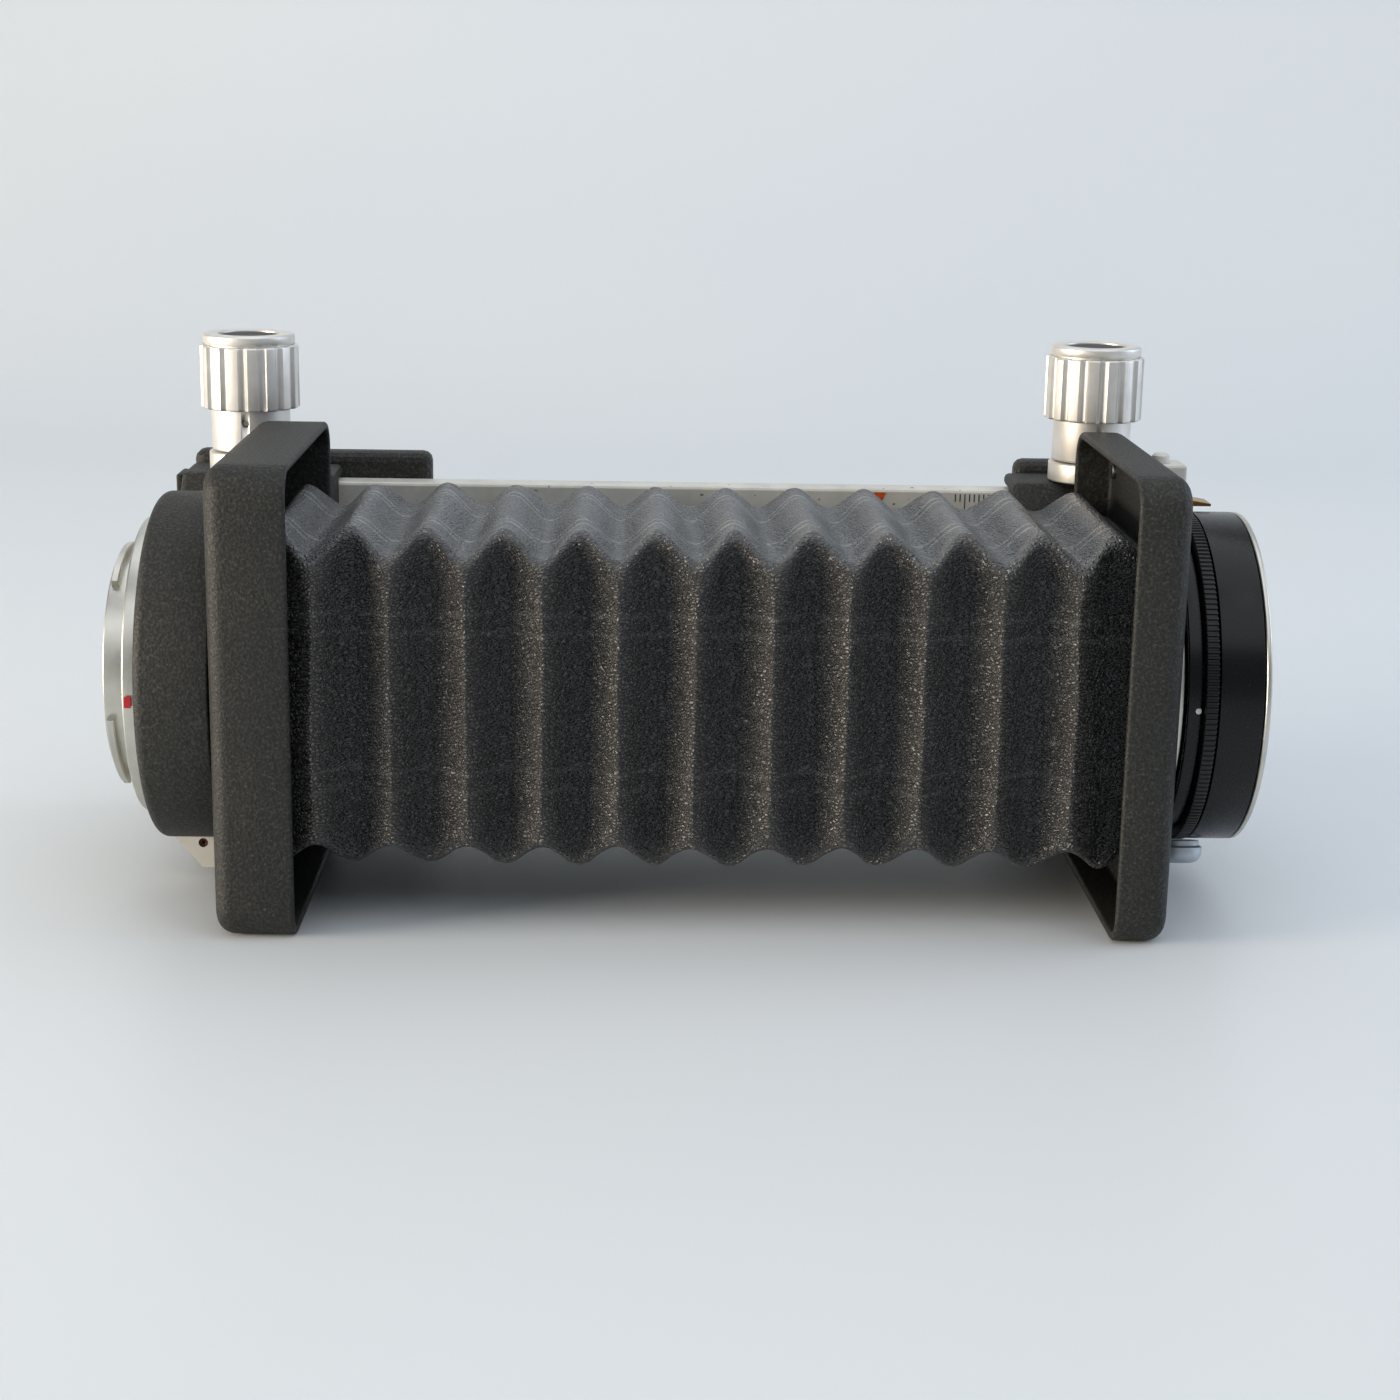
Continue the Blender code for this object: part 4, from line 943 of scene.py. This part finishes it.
def makeScale():
    # Millimetre scale cut along the rail's upper front edge and filled black
    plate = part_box("rail_plate")
    frontY = plate[0].y
    topZ = plate[1].z - 0.9 * mm
    ink = railSet["inkMm"] * mm
    half = railSet["tickMm"] * mm / 2
    mesh = bmesh.new()
    start = railSet["scaleFromMm"]
    end = math.floor((plate[1].x - 4 * mm) / mm)
    for tick in range(start, end + 1):
        size = railSet["tickShortMm"]
        if tick % 5 == 0:
            size = railSet["tickMidMm"]
        if tick % 10 == 0:
            size = railSet["tickLongMm"]
        x = tick * mm
        addBox(mesh, x - half, x + half, frontY - ink, frontY + ink, topZ - size * mm, topZ)
    ticks = makeObject("rail_scale_ticks", mesh, "ink")
    settle(ticks, "rail", "black")
    letters = bmesh.new()
    for tick in range(start, end + 1):
        if tick % 10:
            continue
        words = bpy.data.curves.new("number", "FONT")
        words.body = str(abs(tick))
        words.size = railSet["numberMm"] * mm
        words.align_x = "CENTER"
        words.extrude = ink
        words.resolution_u = 3
        holder = bpy.data.objects.new("number", words)
        data = bpy.data.meshes.new_from_object(holder)
        turn = Matrix.Rotation(math.pi / 2, 4, "X")
        below = topZ - (railSet["tickLongMm"] + 0.5 + railSet["numberMm"] * 0.72) * mm
        data.transform(Matrix.Translation((tick * mm, frontY - ink / 2, below)) @ turn)
        letters.from_mesh(data)
        bpy.data.objects.remove(holder)
        bpy.data.curves.remove(words)
        bpy.data.meshes.remove(data)
    numbers = makeObject("rail_scale_numbers", letters, "ink")
    settle(numbers, "rail", "black")
    markX = railSet["markAtMm"] * mm
    mark = bmesh.new()
    size = railSet["markMm"] * mm / 2
    top = plate[1].z - 0.7 * mm
    outline = [(top, markX - size), (top, markX + size), (top - 1.9 * size, markX + size * 0.2),
               (top - 1.9 * size, markX - size * 0.2)]
    addPrism(mark, outline, "Y", frontY - ink * 2, frontY + ink)
    settle(makeObject("rail_magnification_mark", mark, "orange"), "rail", "red")


def makeRail():
    paintNode("rail_plate", "rail")
    paintNode("rail_rack", "steel")
    paintNode("rail_stop_rear", "crinkle")
    paintNode("rail_stop_front", "crinkle")
    paintNode("tripod_foot", "crinkle")
    paintNode("tripod_bush", "steel")
    makeScale()
    mesh = bmesh.new()
    radius = railSet["stopScrewMm"] * mm
    tall = railSet["stopScrewHeadMm"] * mm
    inset = railSet["stopScrewInMm"] * mm
    for node, way in (("rail_stop_rear", -1), ("rail_stop_front", 1)):
        lowest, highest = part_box(node)
        x = lowest.x if way < 0 else highest.x
        basis = (Vector((0, 1, 0)), Vector((0, 0, way)), Vector((way, 0, 0)))
        for z in (lowest.z + inset, highest.z - inset):
            place = Vector((x - way * tall, (lowest.y + highest.y) / 2 - 1.2 * mm, z))
            addScrew(mesh, place, basis, radius, tall, 0.4 + z * 90)
    settle(makeObject("rail_stop_screws", mesh, "steel"), "rail", "steel")
    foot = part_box("tripod_foot")
    mesh = bmesh.new()
    basis = (Vector((1, 0, 0)), Vector((0, 0, -1)), Vector((0, 1, 0)))
    tall = railSet["footScrewHeadMm"] * mm
    inset = railSet["footScrewInMm"] * mm
    radius = railSet["footScrewMm"] * mm
    for x in (foot[0].x + inset, foot[1].x - inset):
        for z in (foot[0].z + inset, foot[1].z - inset):
            addScrew(mesh, (x, foot[1].y - tall, z), basis, radius, tall, x * 300 + z * 200)
    settle(makeObject("foot_screws", mesh, "steel"), "rail", "steel")


makeRail()
print("rail made")


carriageSet = {
    "screwMm": 2.2,
    "screwHeadMm": 0.9,
    "insetMm": 7.0,
    "shellScrewMm": 1.7,
    "shellScrewHeadMm": 0.8,
    "shellScrewAtMm": (29.5, 36.0),  # along Y and Z from the middle of the shell's floor
}


def makeCarriage(side):
    body = side + "_standard"
    paintNode(side + "_carriage_saddle", "crinkle")
    paintNode(side + "_carriage_plate", "crinkle")
    lowest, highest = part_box(side + "_carriage_plate")
    mesh = bmesh.new()
    basis = (Vector((1, 0, 0)), Vector((0, 0, -1)), Vector((0, 1, 0)))
    inset = carriageSet["insetMm"] * mm
    radius = carriageSet["screwMm"] * mm
    tall = carriageSet["screwHeadMm"] * mm
    for i, x in enumerate((lowest.x + inset, highest.x - inset)):
        for j, z in enumerate((lowest.z + inset, highest.z - inset)):
            addScrew(mesh, (x, highest.y - 0.15 * mm, z), basis, radius, tall, 0.7 + i * 1.1 + j * 0.6)
    settle(makeObject(side + "_carriage_screws", mesh, "steel"), body, "steel")
    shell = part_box(side + "_standard")
    inner = standardSet["plateMm"] * mm
    floorX = shell[0].x + inner if side == "rear" else shell[1].x - inner
    way = 1 if side == "rear" else -1
    middleY = (shell[0].y + shell[1].y) / 2
    alongY, alongZ = carriageSet["shellScrewAtMm"]
    radius = carriageSet["shellScrewMm"] * mm
    tall = carriageSet["shellScrewHeadMm"] * mm
    mesh = bmesh.new()
    basis = (Vector((0, 1, 0)), Vector((0, 0, 1)), Vector((way, 0, 0)))
    for y in (-1, 1):
        for z in (-1, 1):
            place = Vector((floorX, middleY + y * alongY * mm, axisZ + z * alongZ * mm))
            addScrew(mesh, place, basis, radius, tall, 0.3 * y + 0.9 * z)
    settle(makeObject(side + "_standard_screws", mesh, "steel"), body, "steel")


makeCarriage("rear")
makeCarriage("front")
print("carriages made")


knobSet = {
    "flutes": 16,
    "grooveMm": 0.8,
    "grooveShare": 0.42,
    "rimMm": 2.2,
    "rimInMm": 0.7,
    "edgeMm": 0.45,
    "wellMm": 6.2,
    "wellDeepMm": 1.0,
    "sleeveMm": 8.0,
    "boreMm": 2.15,
    "gripMm": 12.9,
    "screwHoleMm": 0.8,
    "screwDeepMm": 1.6,
    "capFlatMm": 5.4,
}


def fluteShape(count, depthShare, share):
    # Flats with narrow round-bottomed grooves between them
    def shape(angle, distance):
        phase = (angle / math.tau * count) % 1.0
        away = min(phase, 1 - phase) / (share / 2)
        if away >= 1:
            return 1.0
        return 1.0 - depthShare * math.sqrt(max(0.0, 1 - away * away))
    return shape


def focusKnob(side):
    node = side + "_focus_knob"
    body = side + "_knob"
    lowest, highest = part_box(node)
    centre = Vector(((lowest.x + highest.x) / 2, (lowest.y + highest.y) / 2, 0))
    radius = (highest.x - lowest.x) / 2
    top = highest.z
    edge = knobSet["edgeMm"] * mm
    gripTop = top - knobSet["rimMm"] * mm
    gripLow = gripTop - knobSet["gripMm"] * mm
    sleeve = knobSet["sleeveMm"] * mm
    bore = knobSet["boreMm"] * mm
    rimRadius = radius - knobSet["rimInMm"] * mm
    well = knobSet["wellMm"] * mm
    wellFloor = top - knobSet["wellDeepMm"] * mm
    # one turned profile: sleeve, grip, rim, and the well for the cap
    profile = arc(lowest.z + edge, sleeve - edge, edge, 180, 90, 3)
    profile += [(gripLow - 0.02 * mm, sleeve)]
    profile += arc(gripLow + edge, radius - edge, edge, 180, 90, 4)
    profile += arc(gripTop - edge, radius - edge, edge, 90, 0, 4)
    profile += [(gripTop + 0.02 * mm, rimRadius - 0.5 * mm), (gripTop + 0.25 * mm, rimRadius - 0.5 * mm),
                (gripTop + 0.35 * mm, rimRadius - 0.1 * mm), (gripTop + 0.5 * mm, rimRadius)]
    profile += arc(top - 0.5 * mm, rimRadius - 0.5 * mm, 0.5 * mm, 90, 0, 5)
    profile += arc(top - 0.2 * mm, well + 0.2 * mm, 0.2 * mm, 0, -90, 3)
    profile += [(wellFloor, well), (wellFloor, bore), (lowest.z, bore)]
    mesh = bmesh.new()
    shape = fluteShape(knobSet["flutes"], knobSet["grooveMm"] * mm / radius, knobSet["grooveShare"])

    def gripShape(angle, distance):
        inGrip = gripLow - 0.01 * mm < distance < gripTop + 0.01 * mm
        return shape(angle, distance) if inGrip else 1.0

    addTurned(mesh, profile, "Z", centre, knobSet["flutes"] * 20, loop=True, shape=gripShape)
    knob = makeObject(side + "_knob_grip", mesh, side + "Knob", 40)
    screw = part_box(side + "_knob_set_screw")
    holeAt = Vector((centre.x, centre.y, (screw[0].z + screw[1].z) / 2))
    drill(knob, "Y", holeAt, -radius, -sleeve + knobSet["screwDeepMm"] * mm, knobSet["screwHoleMm"] * mm)
    settle(knob, body, "satin", node)
    # A black disc at the floor of the set-screw hole: painted shade in the hole
    floorAt = -sleeve + knobSet["screwDeepMm"] * mm
    hole = knobSet["screwHoleMm"] * mm
    inside = hole - 0.03 * mm
    holeShade = [(floorAt, 0), (floorAt, inside), (floorAt - 0.1 * mm, inside), (floorAt - 0.1 * mm, 0)]
    settle(turned(side + "_screw_hole_shade", holeShade, "Y", holeAt, "lining", 24), body, "black")
    capLow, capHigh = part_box(side + "_knob_cap")
    cap = [(capLow.z, 0), (capLow.z, (capHigh.x - capLow.x) / 2 - 0.1 * mm)]
    cap += [(capHigh.z - 0.15 * mm, (capHigh.x - capLow.x) / 2)]
    cap += [(capHigh.z - 0.05 * mm, knobSet["capFlatMm"] * mm)]
    cap += [(capHigh.z - 0.02 * mm, 3.0 * mm), (capHigh.z, 0)]
    settle(turned(side + "_knob_disc", cap, "Z", centre, side + "Cap", 96), body, "black", side + "_knob_cap")
    paintNode(side + "_pinion_shaft", side + "Steel")
    paintNode(side + "_knob_set_screw", side + "Steel")
    bearLow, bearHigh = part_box(side + "_knob_bearing")
    bearing = roundTube(bearLow.z, bearHigh.z, bore, (bearHigh.x - bearLow.x) / 2, 0.35 * mm)
    settle(turned(side + "_bearing_collar", bearing, "Z", centre, side + "Knob", 96, loop=True),
           side + "_standard", "satin", side + "_knob_bearing")


clampSet = {"headMm": 8.0, "shankMm": 1.5, "edgeMm": 0.5, "flutes": 18, "fluteDepth": 0.1, "fluteShare": 0.45}


def clampKnob(side):
    node = side + "_clamp_knob"
    lowest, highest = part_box(node)
    centre = Vector(((lowest.x + highest.x) / 2, (lowest.y + highest.y) / 2, 0))
    radius = (highest.x - lowest.x) / 2
    head = lowest.z + clampSet["headMm"] * mm
    shank = clampSet["shankMm"] * mm
    edge = clampSet["edgeMm"] * mm
    profile = [(lowest.z, 0)] + arc(lowest.z + edge, radius - edge, edge, 180, 90, 4)
    profile += arc(head - edge, radius - edge, edge, 90, 0, 4)
    profile += [(head, shank), (highest.z - 0.3 * mm, shank), (highest.z, shank - 0.3 * mm), (highest.z, 0)]
    flutes = fluteShape(clampSet["flutes"], clampSet["fluteDepth"], clampSet["fluteShare"])

    def shape(angle, distance):
        return flutes(angle, distance) if lowest.z < distance < head - 1e-6 else 1.0

    knob = turned(node + "_head", profile, "Z", centre, side + "Knob", 180, shape=shape)
    settle(knob, side + "_clamp", "satin", node)


for side in ("rear", "front"):
    focusKnob(side)
    clampKnob(side)
print("knobs made")


def onAxis(node):
    # Where a piece turned round the optical axis starts, its length and its outer radius
    lowest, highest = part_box(node)
    return Vector((lowest.x, axisY, axisZ)), highest.x - lowest.x, (highest.y - lowest.y) / 2


cameraEndSet = {
    "drumEdgeMm": 1.8,
    "throatMm": 21.5,
    "neckMm": 24.0,
    "boreMm": 20.0,
    "bayonetMm": 22.0,
    "seatMm": 24.0,  # the bayonet ring's seat in the flange
    "seatDeepMm": 0.6,
    "lugs": 3,
    "lugDeg": 52,
    "lugFirstDeg": 100,
    "lugHeightMm": 1.5,
    "flangeScrews": 5,
    "flangeScrewMm": 1.45,
    "flangeScrewAtMm": 25.9,
}


def makeCameraEnd():
    start, length, radius = onAxis("camera_mount_drum")
    throat = cameraEndSet["throatMm"] * mm
    neck = cameraEndSet["neckMm"] * mm
    neckAt = low("rear_standard").x - 0.3 * mm - start.x
    edge = cameraEndSet["drumEdgeMm"] * mm
    drum = [(0.3 * mm, throat), (0, throat + 0.3 * mm)]
    drum += arc(edge, radius - edge, edge, 180, 90, 7)
    drum += arc(neckAt - 0.4 * mm, radius - 0.4 * mm, 0.4 * mm, 90, 0, 3)
    drum += [(neckAt, neck), (length, neck), (length, throat)]
    settle(turned("camera_drum", drum, "X", start, "crinkle", 128, loop=True), "camera_mount", "crinkle",
           "camera_mount_drum")
    start, thick, radius = onAxis("camera_flange")
    bore = cameraEndSet["boreMm"] * mm
    seat = cameraEndSet["seatMm"] * mm
    seatDeep = cameraEndSet["seatDeepMm"] * mm
    flange = [(thick, bore), (seatDeep, bore), (seatDeep, seat), (0.2 * mm, seat), (0, seat + 0.2 * mm)]
    flange += arc(0.4 * mm, radius - 0.4 * mm, 0.4 * mm, 180, 90, 4)
    flange += [(thick - 0.2 * mm, radius), (thick, radius - 0.2 * mm)]
    settle(turned("mount_flange", flange, "X", start, "chrome", 144, loop=True), "camera_mount", "chrome",
           "camera_flange")
    mesh = bmesh.new()
    basis = (Vector((0, 1, 0)), Vector((0, 0, -1)), Vector((-1, 0, 0)))
    for i in range(cameraEndSet["flangeScrews"]):
        angle = math.tau * (i + 0.5) / cameraEndSet["flangeScrews"]
        place = start + Vector((0.35 * mm, cameraEndSet["flangeScrewAtMm"] * mm * math.cos(angle),
                                cameraEndSet["flangeScrewAtMm"] * mm * math.sin(angle)))
        addScrew(mesh, place, basis, cameraEndSet["flangeScrewMm"] * mm, 0.5 * mm, angle * 2.3)
    settle(makeObject("mount_flange_screws", mesh, "steel"), "camera_mount", "steel")
    start, length, radius = onAxis("camera_bayonet")
    outer = cameraEndSet["bayonetMm"] * mm
    mesh = bmesh.new()
    addTurned(mesh, roundTube(0, length, bore, outer, 0.3 * mm), "X", start, 144, loop=True)
    for i in range(cameraEndSet["lugs"]):
        centreDeg = cameraEndSet["lugFirstDeg"] + 360 * i / cameraEndSet["lugs"]
        steps = 20
        rings = []
        for k in range(steps + 1):
            angle = math.radians(centreDeg + cameraEndSet["lugDeg"] * (k / steps - 0.5))
            out = Vector((0, math.cos(angle), math.sin(angle)))
            top = outer + cameraEndSet["lugHeightMm"] * mm
            inside = outer - 0.6 * mm
            section = [(0.6, inside), (0.6, top - 0.3 * mm), (0.8, top), (1.8, top)]
            section += [(2.0, top - 0.2 * mm), (2.0, inside)]
            rings.append([start + Vector((x * mm, 0, 0)) + out * r for x, r in section])
        addSkin(mesh, rings, capped=True)
    settle(makeObject("mount_bayonet", mesh, "chrome"), "camera_mount", "chrome", "camera_bayonet")
    paintNode("camera_index_mark", "red")
    paintNode("drum_retaining_ring", "steel")
    paintNode("bellows_rear_plate", "lining")
    paintNode("bellows_front_plate", "lining")


leverSet = {"shankMm": 0.55, "headMm": 0.6, "holeMm": 0.4, "holeDeepMm": 0.5}


def makeLever():
    paintNode("format_lock_lever", "lever", bevelMm=0.12)
    paintNode("lock_lever_bracket", "lining")
    lowest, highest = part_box("lock_lever_pivot")
    centre = Vector(((lowest.x + highest.x) / 2, 0, (lowest.z + highest.z) / 2))
    head = (highest.x - lowest.x) / 2
    shank = leverSet["shankMm"] * mm
    hole = leverSet["holeMm"] * mm
    front = lowest.y
    back = front + leverSet["headMm"] * mm
    deep = back + leverSet["holeDeepMm"] * mm
    screw = [(deep, 0), (deep, hole), (front + 0.1 * mm, hole), (front, hole + 0.1 * mm)]
    screw += [(front, head - 0.15 * mm), (front + 0.15 * mm, head), (back, head), (back, shank)]
    screw += [(highest.y - 0.1 * mm, shank)]
    screw += [(highest.y, shank - 0.1 * mm), (highest.y, 0)]
    settle(turned("lever_pivot_screw", screw, "Y", centre, "bronze", 40), "rear_standard", "steel",
           "lock_lever_pivot")


makeCameraEnd()
makeLever()
print("camera end made")


ringSet = {
    "flangeBoreMm": 22.5,
    "collarBoreMm": 23.0,
    "barrelBoreMm": 26.0,
    "edgeMm": 0.3,
    "ribs": 190,
    "ribMm": 0.32,
    "ribEdgeMm": 0.25,
    "lipMm": 1.1,  # the front mount's rim, along the axis
    "plugMm": 25.5,  # its part inside the barrel
    "mountBoreMm": 21.0,
    "dotMm": 0.55,
    "dotDeg": 179.5,
    "dotShiftMm": 0.7,
}


def ringPart(name, node, body, slotName, finish, edge, inner, steps=144):
    start, length, outer = onAxis(node)
    profile = roundTube(0, length, inner, outer, edge)
    settle(turned(name, profile, "X", start, finish, steps, loop=True), body, slotName, node)


def makeLensEnd():
    edge = ringSet["edgeMm"] * mm
    barrelBore = ringSet["barrelBoreMm"] * mm
    ringPart("lens_mount_flange", "lens_flange", "front_standard", "chrome", "chrome", edge,
             ringSet["flangeBoreMm"] * mm)
    paintNode("lens_throat_ring", "lining")
    ringPart("extension_collar", "ring_collar", "extension_ring", "black", "anodised", edge,
             ringSet["collarBoreMm"] * mm)
    start, length, outer = onAxis("ring_grip")
    depth = ringSet["ribMm"] * mm / outer

    def ribs(angle, distance):
        phase = (angle / math.tau * ringSet["ribs"]) % 1.0
        return 1 - depth * (1 - min(1.0, max(0.0, (abs(phase - 0.5) - 0.16) / 0.14)))

    mesh = bmesh.new()
    profile = roundTube(0, length, barrelBore, outer, ringSet["ribEdgeMm"] * mm, steps=3)

    addTurned(mesh, profile, "X", start, ringSet["ribs"] * 6, loop=True, shape=ribs)
    settle(makeObject("extension_grip", mesh, "grip", 40), "extension_ring", "black", "ring_grip")
    ringPart("extension_barrel", "ring_barrel", "extension_ring", "black", "anodised", edge / 2,
             barrelBore, 192)
    start, length, rim = onAxis("ring_front_mount")
    face = length - ringSet["lipMm"] * mm
    plug = ringSet["plugMm"] * mm
    bore = ringSet["mountBoreMm"] * mm
    bend = ringSet["lipMm"] * mm / 2
    step = 0.5 * mm  # how far the mount's seat lies behind the rim
    profile = [(0, bore + 0.2 * mm), (0, plug), (face, plug)]
    profile += [(face, rim - 0.15 * mm), (face + 0.15 * mm, rim)]
    profile += arc(length - bend, rim - bend, bend, 90, 0, 5)
    profile += [(length, bore + 2.4 * mm), (length - step, bore + 2.2 * mm), (length - step, bore + 0.3 * mm)]
    profile += [(length - step - 0.2 * mm, bore), (0.2 * mm, bore)]
    settle(turned("extension_front_rim", profile, "X", start, "chrome", 160, loop=True), "extension_ring",
           "chrome", "ring_front_mount")
    paintNode("ring_rear_bayonet", "chrome")
    start, length, radius = onAxis("ring_collar")
    angle = math.radians(ringSet["dotDeg"])
    out = Vector((0, math.cos(angle), math.sin(angle)))
    basis = (Vector((1, 0, 0)), out.cross(Vector((1, 0, 0))), out)
    place = start + Vector((length / 2 + ringSet["dotShiftMm"] * mm, 0, 0))
    size = ringSet["dotMm"] * mm
    dot = [(radius - 0.2 * mm, 0), (radius - 0.2 * mm, size), (radius + 0.02 * mm, size),
           (radius + 0.08 * mm, size * 0.6), (radius + 0.1 * mm, 0)]
    settle(turned("ring_index_dot", dot, basis, place, "white", 24), "extension_ring", "black")


releaseSet = {
    "leanDeg": 14,
    "startMm": 32.45,
    "neckMm": 4.0,
    "capFromMm": 1.0,
    "capMm": 4.6,
    "roundMm": 2.2,
    "lengthMm": 4.4,
    "boreMm": 1.3,
    "plungerFromMm": 1.6,
    "gapMm": 0.3,
    "slackMm": 0.15,
}


def makeRelease():
    # The cable release socket: a rounded satin cap on a dark neck under the ring
    lean = math.radians(releaseSet["leanDeg"])
    along = Vector((0, -math.sin(lean), -math.cos(lean)))
    side = Vector((1, 0, 0))
    basis = (side, along.cross(side), along)
    centre = Vector((middle("release_socket").x, axisY, axisZ))
    start = releaseSet["startMm"] * mm
    bore = releaseSet["boreMm"] * mm
    neck = releaseSet["neckMm"] * mm
    capFrom = start + releaseSet["capFromMm"] * mm
    cap = releaseSet["capMm"] * mm
    end = start + releaseSet["lengthMm"] * mm
    bend = releaseSet["roundMm"] * mm
    profile = [(start, bore), (start, neck), (capFrom, neck)]
    profile += [(capFrom, cap - 0.3 * mm), (capFrom + 0.3 * mm, cap)]
    profile += arc(end - bend, cap - bend, bend, 90, 0, 10)
    profile += [(end, bore + 0.4 * mm), (end - 0.4 * mm, bore)]
    socket = turned("cable_release_socket", profile, basis, centre, "blueSatin", 96, loop=True)
    settle(socket, "extension_ring", "satin", "release_socket")
    first = start + releaseSet["plungerFromMm"] * mm
    last = end - releaseSet["gapMm"] * mm
    plunger = roundRod(first, last, bore - releaseSet["slackMm"] * mm, 0.2 * mm)
    settle(turned("cable_release_plunger", plunger, basis, centre, "brass", 32), "plunger", "brass",
           "release_plunger")
    paintNode("lens_release_housing", "lever", bevelMm=0.3)
    paintNode("lens_release_button", "lever", bevelMm=0.2)
    paintNode("lens_lock_tongue", "brass", bevelMm=0.3)


makeLensEnd()
makeRelease()
print("lens end made")
